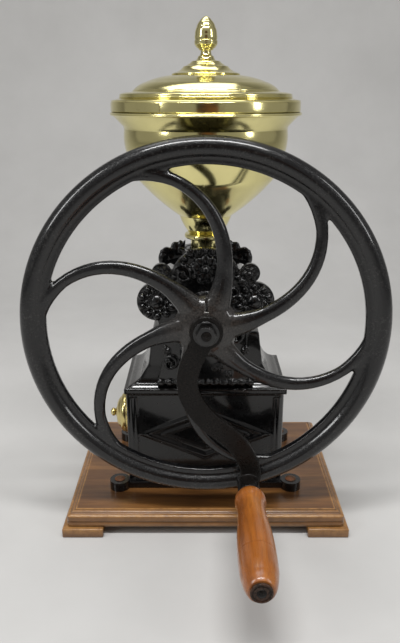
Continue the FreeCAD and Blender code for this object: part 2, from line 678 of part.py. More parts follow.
def leaf_crown():
    """Cast collar with leaves that stands round the foot of the hopper."""
    step = "axle_height+socket_step"
    ring = tube("CrownRing", "collar_radius+seat_gap", "collar_radius+crown_wide", "crown_thick", z=step)
    leaf = [("socket_radius+1", 0), ("collar_radius+12", -2), ("ball_spread-14", -5, 2),
            ("ball_spread-6", 2, 2), ("ball_spread-15", 5, -1), ("collar_radius+6", 5)]
    blade = [("collar_radius+1", "crown_thick/2"), ("collar_radius+7", "crown_thick/2", 1.5),
             ("collar_radius-1.5", 16, -0.5)]
    parts = [ring]
    for i, turn in enumerate((FRONT, Rotation(Vector(0, 0, 1), 180) * FRONT)):
        shift = ("" if i == 0 else "-") + "crown_leaf/2"
        parts.append(padded("Leaf%d" % i, leaf, "crown_leaf", 0, shift, step, turn))
        parts.append(padded("Blade%d" % i, blade, "crown_leaf", 0, shift, step, turn))
    clear = rod("CrownClear", 0, 0, step, "collar_radius+seat_gap", 30)
    piece("leaf_crown", cut("LeafCrown", fuse("CrownBlank", parts), [clear, neck_hole("CrownHole")]))


def rear_end():
    """Rear cover, thrust pad and the screw that sets how fine the mill grinds."""
    face = "barrel_half"
    disc = rod("RearDisc", 0, face, "axle_height", "rear_cover_radius", "rear_cover_thick", BACK)
    boss = rod("RearBoss", 0, face, "axle_height", "rear_boss", "rear_cover_thick+rear_boss_long", BACK)
    holes = [rod("RearCoverBore", 0, face, "axle_height", "pad_radius+screw_gap",
                 "rear_cover_thick+rear_boss_long", BACK)]
    holes += ring_places("RearCoverHole", 33, lambda name, x, z: rod(
        name, x, face, z, "2+screw_gap", "rear_cover_thick", BACK))
    piece("rear_cover", cut("RearCover", fuse("RearCoverBlank", [disc, boss]), holes))
    piece("rear_cover_screws", group("RearCoverScrews", ring_places("RearCoverScrew", 33, lambda name, x,
                                                                    z: (
        domed_bolt(name, "2", "4.2", "2.5", "rear_cover_thick+11", x, "barrel_half+rear_cover_thick", z,
                   BACK)))))
    piece("rear_bush", tube("RearBush", "axle_radius+run_gap", "bush_radius",
                            "barrel_half-bean_room_end-0.5",
                            0, "bean_room_end", "axle_height", BACK))
    piece("thrust_pad", rod("ThrustPad", 0, "barrel_half+0.1", "axle_height", "pad_radius", "pad_thick",
                            BACK))
    piece("lock_nut", hexagon_nut("LockNut", "pad_radius+screw_gap", 11.5, "nut_thick",
                                  0, REAR_BOSS_END, "axle_height", BACK))
    reach = "rear_cover_thick+rear_boss_long-pad_thick-0.1+nut_thick+thumb_gap"
    screw = turned("AdjustingShank", [(0, 0), ("pad_radius", 0), ("pad_radius", reach), ("thumb_radius-1.5",
                                                                                         reach),
                                      ("thumb_radius", reach + "+1.5"),
                                      ("thumb_radius", reach + "+thumb_thick-1.5"),
                                      ("thumb_radius-1.5", reach + "+thumb_thick"), (0,
                                                                                     reach + "+thumb_thick")],
                   0, "barrel_half+0.1+pad_thick", "axle_height", BACK)
    notches = []
    for i in range(8):
        angle = 45 * i
        x = "(thumb_radius+1)*cos(%ddeg)" % angle
        z = "axle_height+(thumb_radius+1)*sin(%ddeg)" % angle
        notches.append(rod("ThumbNotch%d" % i, x, REAR_BOSS_END + "+nut_thick", z, 3,
                           "thumb_gap+thumb_thick+1", BACK))
    piece("adjusting_screw", cut("AdjustingScrew", screw, notches))


def grinding_parts():
    """Ring burr fixed in the housing; cone burr and feed screw on the axle."""
    ring_front = "burr_room_end+ring_thick"
    ring = turned("RingBlank", [("ring_exit", 0), ("burr_room-seat_gap", 0), ("burr_room-seat_gap",
                                                                              "ring_thick"),
                                ("ring_mouth", "ring_thick")], 0, "-(%s)" % ring_front, "axle_height", BACK)
    holes = ring_places("RingBurrHole", 38, lambda name, x, z: rod(
        name, x, "-(%s)" % ring_front, z, "1.5+screw_gap", "ring_thick", BACK))
    piece("burr_ring", cut("BurrRing", ring, holes))
    piece("burr_ring_screws", group("BurrRingScrews", ring_places("BurrRingScrew", 38, lambda name, x, z: (
        domed_bolt(name, "1.5", "2.8", "1.6", "ring_thick+6", x, "-(%s)" % ring_front, z, FRONT)))))
    cone = turned("ConeBlank", [("axle_radius+seat_gap", 0), ("ring_exit-grind_gap", 0),
                                ("cone_nose", "ring_thick-1"), ("axle_radius+seat_gap", "ring_thick-1")],
                  0, "-(%s)" % ring_front, "axle_height", BACK)
    slots = []
    for i in range(int(size("tooth_count"))):
        slot = block("ConeSlot%d" % i, "-0.9", "-(%s)-1" % ring_front, 0, 1.8, "ring_thick+1", 6)
        angle = 360.0 / size("tooth_count") * i
        turn = Rotation(Y_AXIS, angle)
        slot.Placement.Rotation = turn
        arm = "(cone_nose+4)"
        across = "%s*sin(%.6fdeg)-0.9*cos(%.6fdeg)" % (arm, angle, angle)
        upward = "axle_height+%s*cos(%.6fdeg)+0.9*sin(%.6fdeg)" % (arm, angle, angle)
        place(slot, across, "-(%s)-1" % ring_front, upward, turn)
        slots.append(slot)
    pin_y = "-(%s)+ring_thick/3" % ring_front
    slots.append(rod("ConePinHole", 0, pin_y, "axle_height-40", "2+seat_gap", 80))
    piece("burr_cone", cut("BurrCone", cone, slots))
    piece("cone_pin", rod("ConePin", 0, pin_y, "axle_height-cone_nose-5", "2", "2*(cone_nose+5)"))
    long = "bean_room_end+burr_room_end-4"
    core_y = "2-burr_room_end"
    core = rod("FeedCore", 0, core_y, "axle_height", "feed_core", long, BACK)
    bore = rod("FeedBore", 0, core_y, "axle_height", "axle_radius+seat_gap", long, BACK)
    flight = doc.addObject("Part::Feature", "FeedFlight")
    run = size(long) - 5
    helix = Part.Wire(Part.makeHelix(size("feed_pitch"), run, size("feed_core")))
    inner, outer = size("feed_core") - 1, size("feed_flight")
    section = Part.makePolygon([Vector(inner, 0, -2), Vector(outer, 0, -1), Vector(outer, 0, 1),
                                Vector(inner, 0, 2),
                                Vector(inner, 0, -2)])
    flight.Shape = helix.makePipeShell([section], True, True)
    place(flight, 0, core_y + "+2.5", "axle_height", BACK)
    piece("feed_screw", cut("FeedScrew", fuse("FeedBlank", [core, flight]), [bore]))


def axle():
    """Turned axle: thrust end, journals, hub seat, square for the crank and threaded end."""
    rear = "barrel_half"
    lengths = [("axle_radius", "barrel_half+wheel_plane-hub_back"), ("hub_seat", rear + "+" + ARM_BACK)]
    corners = [(0, 0), (lengths[0][0], 0), lengths[0], ("hub_seat", lengths[0][1]), lengths[1],
               ("stub_radius", lengths[1][1])]
    tip = "%s+%s+washer_thick+crank_nut_thick+1.5" % (rear, ARM_FRONT)
    corners += [("stub_radius", tip), ("0", tip + "+1.5")]
    shaft = turned("AxleTurned", corners, 0, rear, "axle_height", FRONT)
    square = middle_block("AxleSquare", "-(%s)" % ARM_FRONT, "axle_height-crank_square/2", "crank_square",
                          "crank_thick", "crank_square")
    whole = fuse("AxleBlank", [shaft, square])
    keyway = middle_block("AxleKeyway", "-(%s)" % ARM_BACK, "axle_height+hub_seat-key_width/2", "key_width",
                          "rim_round+rim_gap+hub_back", "key_width")
    pin_y = "-(burr_room_end+ring_thick)+ring_thick/3"
    pin_hole = rod("AxlePinHole", 0, pin_y, "axle_height-20", "2+seat_gap", 40)
    piece("main_shaft", cut("MainShaft", whole, [keyway, pin_hole]))


def spoke_shape(turn):
    """One S-shaped spoke, flat on its faces, that runs out along the rim's lip."""
    start = size("hub_radius") - 4
    lip = size("lip_radius")

    def polar(radius, angle):
        bearing = math.radians(angle + turn)
        return Vector(radius * math.cos(bearing), 0, radius * math.sin(bearing))

    def centre(t):
        return polar(start + (lip - start) * t, 5 + 30 * t + 13.3 * t ** 4)

    def edge(t, side):
        along = (centre(t + 0.01) - centre(t - 0.01)).normalize()
        half = (size("spoke_wide") + (size("spoke_narrow") - size("spoke_wide")) * t) / 2
        return centre(t) + Vector(-along.z, 0, along.x) * half * side

    steps = [0, 0.2, 0.4, 0.6, 0.75, 0.87]
    rim_line = size("wheel_radius-rim_round")
    leading = [edge(t, 1) for t in steps] + [polar(lip + 4, 56), polar(lip + 10, 66)]
    trailing = [edge(t, -1) for t in steps + [0.97]]
    curves = []
    for points in (leading, trailing):
        curve = Part.BSplineCurve()
        curve.interpolate(points)
        curves.append(curve.toShape())
    ends = [leading[-1], polar(rim_line, 64), polar(rim_line, 50), trailing[-1]]
    sides = [Part.LineSegment(a, b).toShape() for a, b in zip(ends, ends[1:])]
    sides.append(Part.LineSegment(trailing[0], leading[0]).toShape())
    face = Part.Face(Part.Wire(Part.__sortEdges__(curves + sides)))
    depth = size("spoke_thick")
    face.translate(Vector(0, -size("wheel_plane") - depth / 2, size("axle_height")))
    return face.extrude(Vector(0, depth, 0))


def flywheel():
    """Cast wheel: round rim with a flat lip, curved spokes and a domed hub."""
    line = "wheel_radius-rim_round"
    foot = line + "-sqrt(rim_round^2-(lip_thick/2)^2)"
    quarter = "rim_round*(1-cos(45deg))"
    shoulder = "rim_round*(1-cos((90deg-asin(lip_thick/2/rim_round))/2))"
    profile = [("lip_radius", "-lip_thick/2"), (foot, "-lip_thick/2", shoulder), (line, "-rim_round",
                                                                                  quarter),
               ("wheel_radius", 0, quarter), (line, "rim_round", shoulder), (foot, "lip_thick/2"),
               ("lip_radius", "lip_thick/2")]
    rim = turned("Rim", profile, 0, "-wheel_plane", "axle_height", FRONT)
    hub_long = "rim_round+rim_gap+hub_back"
    hub = turned("Hub", [("hub_seat+seat_gap", 0), ("hub_radius-3", 0), ("hub_radius", 3),
                         ("hub_radius", "hub_back+5", 1.5), ("crank_eye+2", hub_long),
                         ("hub_seat+seat_gap", hub_long)], 0, "hub_back-wheel_plane", "axle_height", FRONT)
    spokes = []
    count = int(size("spoke_count"))
    for i in range(count):
        spoke = doc.addObject("Part::Feature", "Spoke%d" % i)
        spoke.Shape = spoke_shape(360.0 / count * i)
        spokes.append(spoke)
    whole = fuse("WheelBlank", [rim, hub] + spokes)
    keyway = middle_block("HubKeyway", "-(%s)-1" % ARM_BACK, "axle_height", "key_width+2*seat_gap",
                          hub_long + "+2", "hub_seat+key_width/2+seat_gap")
    slot = middle_block("HubSlot", "-(%s)-1" % ARM_BACK, "axle_height", "key_width+2*seat_gap", 8,
                        "hub_radius-3")
    bore = rod("HubBore", 0, "hub_back+1-wheel_plane", "axle_height", "hub_seat+seat_gap", hub_long + "+2",
               FRONT)
    piece("flywheel", cut("Flywheel", whole, [bore, keyway, slot]))
    bar = middle_block("KeyBar", "0.5-(%s)" % ARM_BACK, "axle_height+hub_seat-key_width/2+seat_gap",
                       "key_width",
                       hub_long + "-1", "key_width-seat_gap")
    head = middle_block("KeyHead", "0.5-(%s)" % ARM_BACK, "axle_height+hub_seat-key_width/2+seat_gap",
                        "key_width", 5, "16")
    piece("wheel_key", fuse("WheelKey", [bar, head]))


def crank_shape():
    """The bent bar of the crank, from the axle's eye to the handle's eye."""
    reach = size("crank_reach")
    lean = math.radians(size("crank_lean"))
    down = Vector(math.sin(lean), 0, -math.cos(lean))
    across = Vector(math.cos(lean), 0, math.sin(lean))
    # share of the reach, and sideways share of the reach
    bends = [(0, 0), (0.09, -0.074), (0.19, -0.151), (0.3, -0.19), (0.44, -0.172), (0.56, -0.115),
             (0.68, -0.027), (0.81, 0.024), (0.91, 0.036), (1, 0)]
    middle = Part.BSplineCurve()
    middle.interpolate([down * (a * reach) + across * (b * reach) for a, b in bends])
    half = size("crank_wide/2")
    first, last = middle.FirstParameter, middle.LastParameter
    sides = []
    for side in (1, -1):
        points = []
        for i in range(13):
            at = first + (last - first) * i / 12
            along = middle.tangent(at)[0]
            points.append(middle.value(at) + Vector(-along.z, 0, along.x) * half * side)
        curve = Part.BSplineCurve()
        curve.interpolate(points)
        sides.append((curve.toShape(), points[0], points[-1]))
    ends = [Part.LineSegment(sides[0][i], sides[1][i]).toShape() for i in (1, 2)]
    face = Part.Face(Part.Wire(Part.__sortEdges__([sides[0][0], sides[1][0]] + ends)))
    face.translate(Vector(0, -size(ARM_FRONT), size("axle_height")))
    return face.extrude(Vector(0, size("crank_thick"), 0))


def crank():
    """Crank arm, the nut that holds it, and the free-turning wooden handle."""
    bar = doc.addObject("Part::Feature", "CrankBar")
    bar.Shape = crank_shape()
    eye = rod("CrankEye", 0, "-(%s)" % ARM_BACK, "axle_height", "crank_eye", "crank_thick", FRONT)
    pin_z = "axle_height-" + PIN_DROP
    eye_long = "crank_thick+pin_boss_long"
    boss = rod("PinBoss", PIN_X, "-(%s)" % ARM_BACK, pin_z, "pin_boss", eye_long, FRONT)
    square = middle_block("CrankSquare", "-(%s)-1" % ARM_FRONT, "axle_height-crank_square/2-seat_gap",
                          "crank_square+2*seat_gap", "crank_thick+2", "crank_square+2*seat_gap")
    pin_hole = rod("PinHole", PIN_X, "-(%s)" % ARM_BACK, pin_z, "spindle_radius+seat_gap", eye_long, FRONT)
    piece("crank_arm", cut("CrankArm", fuse("CrankBlank", [bar, eye, boss]), [square, pin_hole]))
    piece("crank_washer", tube("CrankWasher", "stub_radius+screw_gap", "washer_radius", "washer_thick",
                               0, "-(%s)" % ARM_FRONT, "axle_height", FRONT))
    piece("crank_nut", hexagon_nut("CrankNut", "stub_radius+screw_gap", "crank_nut_radius",
                                   "crank_nut_thick",
                                   0, "-(%s+washer_thick)" % ARM_FRONT, "axle_height", FRONT))
    collar = eye_long + "+spindle_collar"
    grip_start = collar + "+grip_play"
    grip_stop = grip_start + "+grip_long+grip_play"
    spindle = [(0, 0), ("spindle_radius", 0), ("spindle_radius", eye_long), ("spindle_radius*2", eye_long),
               ("spindle_radius*2", collar), ("spindle_radius", collar),
               ("spindle_radius", grip_stop + "+cap_thick"), (0, grip_stop + "+cap_thick+2")]
    piece("handle_spindle", turned("HandleSpindle", spindle, PIN_X, "-(%s)" % ARM_BACK, pin_z, FRONT))
    bore = "spindle_radius+run_gap"
    grip = [(bore, 0), ("grip_start", 0, 0.6), ("grip_bead", "grip_long*0.06", 0.5),
            ("grip_neck", "grip_long*0.17", -0.5), ("(grip_neck+grip_belly)/2", "grip_long*0.4", 0.5),
            ("grip_belly", "grip_long*0.66", 0.5), ("grip_belly-1.8", "grip_long*0.88", 1.2),
            ("grip_end", "grip_long"), (bore, "grip_long")]
    piece("handle_grip", turned("HandleGrip", grip, PIN_X, "-(%s+%s)" % (ARM_BACK, grip_start), pin_z,
                                FRONT))
    piece("handle_washer", tube("HandleWasher", "spindle_radius+seat_gap", "cap_radius", "cap_thick",
                                PIN_X, "-(%s+%s)" % (ARM_BACK, grip_stop), pin_z, FRONT))


def hopper():
    """Spun brass bowl with its neck in the housing's socket."""
    outside = [("neck_radius", "-neck_sunk"), ("neck_radius", "neck_high", -2.5),
               ("cone_radius", "cone_high", 1.2), ("shoulder_radius", "shoulder_high", 2.2),
               ("belly_radius", "belly_high", 0.4), ("bowl_radius", "bowl_high", -1.6),
               ("lip_outer-3", "rim_high"), ("lip_outer", "rim_high+0.8"),
               ("lip_outer", "rim_high+rim_thick")]
    inside = [("lip_outer-brass*4", "rim_high+rim_thick"), ("lip_outer-brass*4", "rim_high+1.4", 1.6),
              ("bowl_radius-brass", "bowl_high+0.6", -0.4), ("belly_radius-brass", "belly_high+0.4", -2.2),
              ("shoulder_radius-brass*0.8", "shoulder_high+brass", -1.2),
              ("cone_radius-brass*0.8", "cone_high+brass", 2.5), ("neck_radius-brass",
                                                                  "neck_high+brass*0.6"),
              ("neck_radius-brass", "-neck_sunk")]
    piece("hopper_bowl", turned("HopperBowl", outside + inside, z=SOCKET_RIM))
    ring = [("neck_radius+seat_gap", 0), ("neck_ring-2", 0, 0.6), ("neck_ring", "neck_ring_high/2", 0.6),
            ("neck_ring-2", "neck_ring_high"), ("neck_radius+seat_gap", "neck_ring_high")]
    piece("neck_collar", turned("NeckCollar", ring, z=SOCKET_RIM + "+neck_high-neck_ring_high"))
    face = "collar_radius+crown_wide+0.05"
    screws = [domed_bolt("NeckScrew" + tag, "neck_screw", "neck_screw*2", "neck_screw",
                         face + "-neck_radius-0.15",
                         0, side + "(%s)" % face, CROWN_MIDDLE, turn)
              for tag, side, turn in (("Front", "-", FRONT), ("Rear", "", BACK))]
    piece("hopper_screws", group("HopperScrews", screws))


def lid():
    """Lift-off brass lid with its band, raised cap and acorn finial."""
    side = "band_radius-brass-seat_gap"
    hole = "stem_radius+seat_gap"
    outside = [(side, "lid_gap"), (side, "band_high+0.6"),
               ("ring_radius", "ring_low"), ("ring_radius", "ring_top"), ("dome_radius", "dome_low", 1),
               ("dome_mid", "dome_mid_high", 1.2), ("cap_base", "dome_high"), (hole, "dome_high")]
    inside = [(hole, "dome_high-brass"), ("cap_base-0.3", "dome_high-brass", -1.2),
              ("dome_mid-0.7", "dome_mid_high-brass*0.9", -1), ("dome_radius-0.7", "dome_low-brass*0.9"),
              ("ring_radius-brass", "ring_top-brass"), ("ring_radius-brass", "ring_low-brass*0.8"),
              (side + "-brass", "band_high-brass*0.8"), (side + "-brass", "lid_gap")]
    piece("hopper_lid", turned("HopperLid", outside + inside, z=HOPPER_RIM))
    skirt = "ring_radius-brass-seat_gap"
    piece("lid_skirt", tube("LidSkirt", skirt + "-brass", skirt, "ring_top-brass-0.5+skirt_long",
                            z=HOPPER_RIM + "-skirt_long"))
    piece("lid_band", tube("LidBand", "band_radius-brass", "band_radius", "band_high",
                           z=HOPPER_RIM + "+lid_gap"))
    cap = [(hole, 0), ("cap_base", 0), ("cap_base", 1.8, -1), ("cap_base-13", "cap_high-2.2"),
           ("finial_foot", "cap_high"), (hole, "cap_high")]
    piece("lid_cap", turned("LidCap", cap, z=DOME_TOP))
    stem = "-cap_high-brass-7"
    high = "finial_high"
    acorn = [(0, stem), ("stem_radius", stem), ("stem_radius", 0), ("finial_foot", 0, -2.6),
             ("8.4", high + "*0.135"), ("6", high + "*0.2"), ("6.4", high + "*0.27"),
             ("10.4", high + "*0.31", 0.8), ("finial_belly", high + "*0.44"),
             ("finial_belly-0.9", high + "*0.51", 0.9), ("8.9", high + "*0.74", 0.9),
             (3.6, high + "*0.96", cap_bulge(3.6, high + "*0.04")), (0, high)]
    piece("lid_finial", turned("LidFinial", acorn, z=DOME_TOP + "+cap_high"))
    piece("finial_nut", hexagon_nut("FinialNut", "stem_radius+screw_gap", 8, 5, 0, 0, DOME_TOP + "-brass-5",
                                    UP))


def drawer():
    """Sheet tray with a cast front, riveted together, and a brass knob."""
    half_y = "box_width/2-box_wall-drawer_slack"
    low = BOX_BASE + "+box_floor"
    tray_x = "-box_length/2+front_thick"
    outer = block("TrayOuter", tray_x, "-(%s)" % half_y, low, "tray_length", "2*(%s)" % half_y, "tray_high")
    inner = block("TrayInner", tray_x + "+tray_sheet", "tray_sheet-(%s)" % half_y, low + "+tray_sheet",
                  "tray_length-2*tray_sheet", "2*(%s)-2*tray_sheet" % half_y, "tray_high")
    bolt_z = BOX_BASE + "+knob_high"
    places = [("-30", "16"), ("30", "16"), ("-30", "78"), ("30", "78")]

    def rivet_hole(name, y, z, x, long):
        return rod(name, x, y, low + "+" + z, "2+seat_gap", long, Rotation(Y_AXIS, 90))

    tray_holes = [rivet_hole("TrayRivetHole%d" % i, y, z, tray_x, "tray_sheet")
                  for i, (y, z) in enumerate(places)]
    tray_holes.append(rod("TrayBoltHole", tray_x, 0, bolt_z, "knob_shank+screw_gap", "tray_sheet",
                          Rotation(Y_AXIS, 90)))
    piece("drawer_tray", cut("DrawerTray", outer, [inner] + tray_holes))
    front_half = "box_width/2-box_wall-drawer_gap"
    front = block("FrontPlate", "-box_length/2", "-(%s)" % front_half, low + "+drawer_gap", "front_thick",
                  "2*(%s)" % front_half, "box_high-box_floor-box_wall-2*drawer_gap")
    front_holes = [rivet_hole("FrontRivetHole%d" % i, y, z, "-box_length/2", "front_thick")
                   for i, (y, z) in enumerate(places)]
    front_holes.append(rod("FrontBoltHole", "-box_length/2", 0, bolt_z, "knob_shank+screw_gap",
                           "front_thick",
                           Rotation(Y_AXIS, 90)))
    piece("drawer_front", cut("DrawerFront", front, front_holes))
    rivets = []
    for i, (y, z) in enumerate(places):
        corners = [(0, 0.3), (2, 0.3), (2, "front_thick+tray_sheet"), (3.5, "front_thick+tray_sheet",
                                                                       cap_bulge(3.5, 1.8)),
                   (0, "front_thick+tray_sheet+1.8")]
        rivets.append(turned("DrawerRivet%d" % i, corners, "-box_length/2", y, low + "+" + z,
                             Rotation(Y_AXIS, 90)))
    piece("drawer_rivets", group("DrawerRivets", rivets))
    hole = "knob_shank+screw_gap"
    dome = [(hole, 0), ("knob_radius-1.5", 0), ("knob_radius", 1.5), ("knob_radius-0.5", 4, 3),
            ("knob_radius*0.55", "knob_dome*0.8", 1), (hole + "+1", "knob_dome"), (hole, "knob_dome")]
    piece("knob_dome", turned("KnobDome", dome, "-box_length/2", 0, bolt_z, LEFT))
    bolt = [(0, "-front_thick-tray_sheet-6"), ("knob_shank", "-front_thick-tray_sheet-6"),
            ("knob_shank", "knob_dome"), ("button_radius-1", "knob_dome", 1.2),
            ("button_radius-1", "knob_dome+4.5", cap_bulge("button_radius-1", 1.5)), (0, "knob_dome+6")]
    piece("knob_bolt", turned("KnobBolt", bolt, "-box_length/2", 0, bolt_z, LEFT))
    piece("knob_nut", hexagon_nut("KnobNut", "knob_shank+screw_gap", 6.5, 4.5,
                                  "-box_length/2+front_thick+tray_sheet",
                                  0, bolt_z, Rotation(Y_AXIS, 90)))


for build in (plinth, foot_frame, drawer_box, mill_housing, front_cover, leaf_crown, rear_end,
              grinding_parts,
              axle, flywheel, crank, hopper, lid, drawer):
    build()
doc.recompute()

for item in doc.Objects:
    if "Invalid" in item.State or "Error" in item.State:
        raise RuntimeError("%s (%s) did not rebuild: %s" % (item.Name, item.Label, item.State))
for item in PIECES:
    if item.Shape.isNull() or not item.Shape.isValid() or not item.Shape.Solids:
        raise RuntimeError("%s has no valid solid" % item.Label)

os.makedirs("parts", exist_ok=True)
for item in PIECES:
    item.Shape.exportStep(os.path.join("parts", item.Label + ".step"))
    solids = item.Shape.Solids
    volume = sum(solid.Volume for solid in solids) / 1000
    print("%-20s %2d solid(s) %9.2f cm3" % (item.Label, len(solids), volume))
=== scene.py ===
import json
import math

import bmesh
import bpy
from mathutils import Matrix, Vector


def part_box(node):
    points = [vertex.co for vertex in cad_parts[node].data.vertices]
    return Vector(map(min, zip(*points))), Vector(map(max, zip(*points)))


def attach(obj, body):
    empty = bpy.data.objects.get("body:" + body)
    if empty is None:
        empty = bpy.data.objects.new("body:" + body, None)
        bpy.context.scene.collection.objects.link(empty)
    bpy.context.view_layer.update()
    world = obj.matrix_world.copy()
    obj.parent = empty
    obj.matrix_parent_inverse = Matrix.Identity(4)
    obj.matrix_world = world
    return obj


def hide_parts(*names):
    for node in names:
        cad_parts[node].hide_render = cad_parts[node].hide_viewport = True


# Looks of a counter coffee mill: one big flywheel with a crank, brass hopper, wooden plinth.
# Sizes are millimetres unless a name says otherwise; meshes are in metres, in the CAD's frame.

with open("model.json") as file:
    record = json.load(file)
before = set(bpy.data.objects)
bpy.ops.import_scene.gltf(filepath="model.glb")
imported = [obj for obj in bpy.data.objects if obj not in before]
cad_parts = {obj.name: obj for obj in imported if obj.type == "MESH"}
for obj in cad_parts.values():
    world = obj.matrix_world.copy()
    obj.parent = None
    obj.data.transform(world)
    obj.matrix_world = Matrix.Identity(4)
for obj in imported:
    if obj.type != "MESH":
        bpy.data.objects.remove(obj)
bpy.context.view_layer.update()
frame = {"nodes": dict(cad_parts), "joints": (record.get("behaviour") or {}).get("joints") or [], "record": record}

MM = 0.001
JOINTS = {joint["name"]: joint for joint in frame["joints"]}
BODY_OF = {node: body for body, nodes in frame["record"]["behaviour"]["bodies"].items() for node in nodes}
SLOT_OF = {entry["node"]: entry["material_slot"] for entry in frame["record"]["subparts"]}

AXLE_HIGH = JOINTS["wheel_spin"]["pos_m"][2] / MM
GRIP_X, _, GRIP_Z = (value / MM for value in JOINTS["grip_spin"]["pos_m"])
SOCKET_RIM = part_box("mill_housing")[1].z / MM
HOPPER_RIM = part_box("hopper_bowl")[1].z / MM
COVER_FACE = 57     # from the hopper's middle forward to the face of the cover's plate
WHEEL_PLANE = 108   # and to the middle of the wheel's rim
BRASS = 1.4         # thickness of the lid's sheet
BOX_PANEL = 2.5     # from the foremost face of the box back to the middle of its mouldings

# The three ways that a turned or flat pattern faces.
UP = Matrix()
FRONT = Matrix.Rotation(math.radians(90), 4, "X")
LEFT = Matrix.Rotation(math.radians(-90), 4, "Y")


# ---------------------------------------------------------------- shapes

def placed(x, y, z, turn=UP):
    """From a pattern in millimetres to its place in the mill, in metres."""
    return Matrix.Scale(MM, 4) @ Matrix.Translation((x, y, z)) @ turn


def arc_points(start, end, bulge, steps=10):
    """Points after start, up to end, on an arc that bows out to the right of travel by the bulge."""
    if not bulge:
        return [end]
    along = end - start
    right = Vector((along.y, -along.x)).normalized()
    radius = along.length ** 2 / 8 / abs(bulge) + abs(bulge) / 2
    centre = (start + end) / 2 - right * math.copysign(radius - abs(bulge), bulge)
    first = math.atan2(start.y - centre.y, start.x - centre.x)
    sweep = 2 * math.asin(min(1, along.length / 2 / radius)) * (1 if bulge > 0 else -1)
    angles = [first + sweep * i / steps for i in range(1, steps + 1)]
    return [centre + radius * Vector((math.cos(angle), math.sin(angle))) for angle in angles]


def profile_points(corners):
    """The outline through (radius, height) or (radius, height, bulge) corners."""
    points = [Vector(corners[0][:2])]
    for corner in corners[1:]:
        points += arc_points(points[-1], Vector(corner[:2]), corner[2] if len(corner) > 2 else 0)
    return points


def grown_ring(bm, edges):
    """Extrudes a chain of edges on the spot; returns its new verts and edges."""
    grown = bmesh.ops.extrude_edge_only(bm, edges=edges)["geom"]
    verts = {item for item in grown if isinstance(item, bmesh.types.BMVert)}
    return verts, [item for item in grown if isinstance(item, bmesh.types.BMEdge) and set(item.verts) <= verts]


def add_turned(bm, corners, steps, turn=2 * math.pi, start=0.0):
    """Spins an outline round the pattern's own Z axis."""
    points = profile_points(corners)
    spin_start = Matrix.Rotation(start, 4, "Z")
    verts = [bm.verts.new(spin_start @ Vector((p.x, 0, p.y))) for p in points]
    edges = [bm.edges.new(pair) for pair in zip(verts, verts[1:])]
    whole = abs(turn - 2 * math.pi) < 1e-6
    bmesh.ops.spin(bm, geom=verts + edges, cent=(0, 0, 0), axis=(0, 0, 1), angle=turn, steps=steps,
                   use_merge=whole)
    bmesh.ops.remove_doubles(bm, verts=bm.verts, dist=1e-4)


def add_swept(bm, path, widths, thicks, sides=14):
    """A bar with a rounded section along a path in the pattern's XY plane."""
    before, edges = None, []
    for i, point in enumerate(path):
        along = (path[min(i + 1, len(path) - 1)] - path[max(i - 1, 0)]).normalized()
        across = Vector((-along.y, along.x, 0))
        basis = Matrix((across * widths[i] / 2, Vector((0, 0, thicks[i] / 2)), along)).transposed().to_4x4()
        spot = Matrix.Translation(point) @ basis
        if before is None:
            ring = bmesh.ops.create_circle(bm, cap_ends=True, segments=sides, radius=1, matrix=spot)["verts"]
            edges = list({edge for vert in ring for edge in vert.link_edges})
        else:
            ring, edges = grown_ring(bm, edges)
            bmesh.ops.transform(bm, matrix=spot @ before.inverted(), verts=list(ring))
        before = spot
    bmesh.ops.edgeloop_fill(bm, edges=edges)


def add_pebble(bm, x, y, z, length, width, height, turn=0.0):
    """A smooth oval lump, the unit of all the cast ornament."""
    spot = Matrix.Translation((x, y, z)) @ Matrix.Rotation(turn, 4, "Z")
    bmesh.ops.create_uvsphere(bm, u_segments=14, v_segments=8, radius=0.5,
                              matrix=spot @ Matrix.Diagonal((length, width, height, 1)))


def in_scene(name, data):
    """A new object in the scene for a mesh, a lamp or a camera."""
    made = bpy.data.objects.new(name, data)
    bpy.context.scene.collection.objects.link(made)
    return made


def finished(name, bm, spot=UP, merge=True, smooth_below=40):
    """Turns a pattern into a smooth-shaded object that sits at the origin."""
    if merge:
        bmesh.ops.remove_doubles(bm, verts=bm.verts, dist=1e-5)
        bmesh.ops.recalc_face_normals(bm, faces=bm.faces)
    bm.transform(spot)
    mesh = bpy.data.meshes.new(name)
    bm.to_mesh(mesh)
    bm.free()
    mesh.shade_smooth()
    mesh.set_sharp_from_angle(angle=math.radians(smooth_below))
    return in_scene(name, mesh)


def applied(made, name):
    """The object's mesh with its modifiers applied, as a new object."""
    depsgraph = bpy.context.evaluated_depsgraph_get()
    mesh = bpy.data.meshes.new_from_object(made.evaluated_get(depsgraph))
    mesh.name = name
    bpy.data.objects.remove(made)
    mesh.shade_smooth()
    return in_scene(name, mesh)


def cast_iron_skin(name, pattern, grain, rounding):
    """Runs the shells of a pattern together, with the soft edges and inner corners of a sand casting."""
    skin = pattern.modifiers.new("Skin", "REMESH")
    skin.mode = "VOXEL"
    skin.voxel_size = grain * MM
    soft = pattern.modifiers.new("Soft", "SMOOTH")
    soft.factor = 0.5
    soft.iterations = rounding
    return applied(pattern, name)


def grooved(made, name, middle, extent):
    """Cuts a square groove into a finished casting."""
    bm = bmesh.new()
    bmesh.ops.create_cube(bm, size=1, matrix=Matrix.Diagonal((*extent, 1)))
    cutter = finished(name + "_cutter", bm, placed(*middle))
    groove = made.modifiers.new("Groove", "BOOLEAN")
    groove.object = cutter
    groove.operation = "DIFFERENCE"
    groove.solver = "EXACT"
    result = applied(made, name)
    bpy.data.objects.remove(cutter)
    return result


def copy_of(node):
    """A merged copy of a CAD node's mesh."""
    bm = bmesh.new()
    bm.from_mesh(frame["nodes"][node].data)
    bmesh.ops.remove_doubles(bm, verts=bm.verts, dist=1e-6)
    return bm


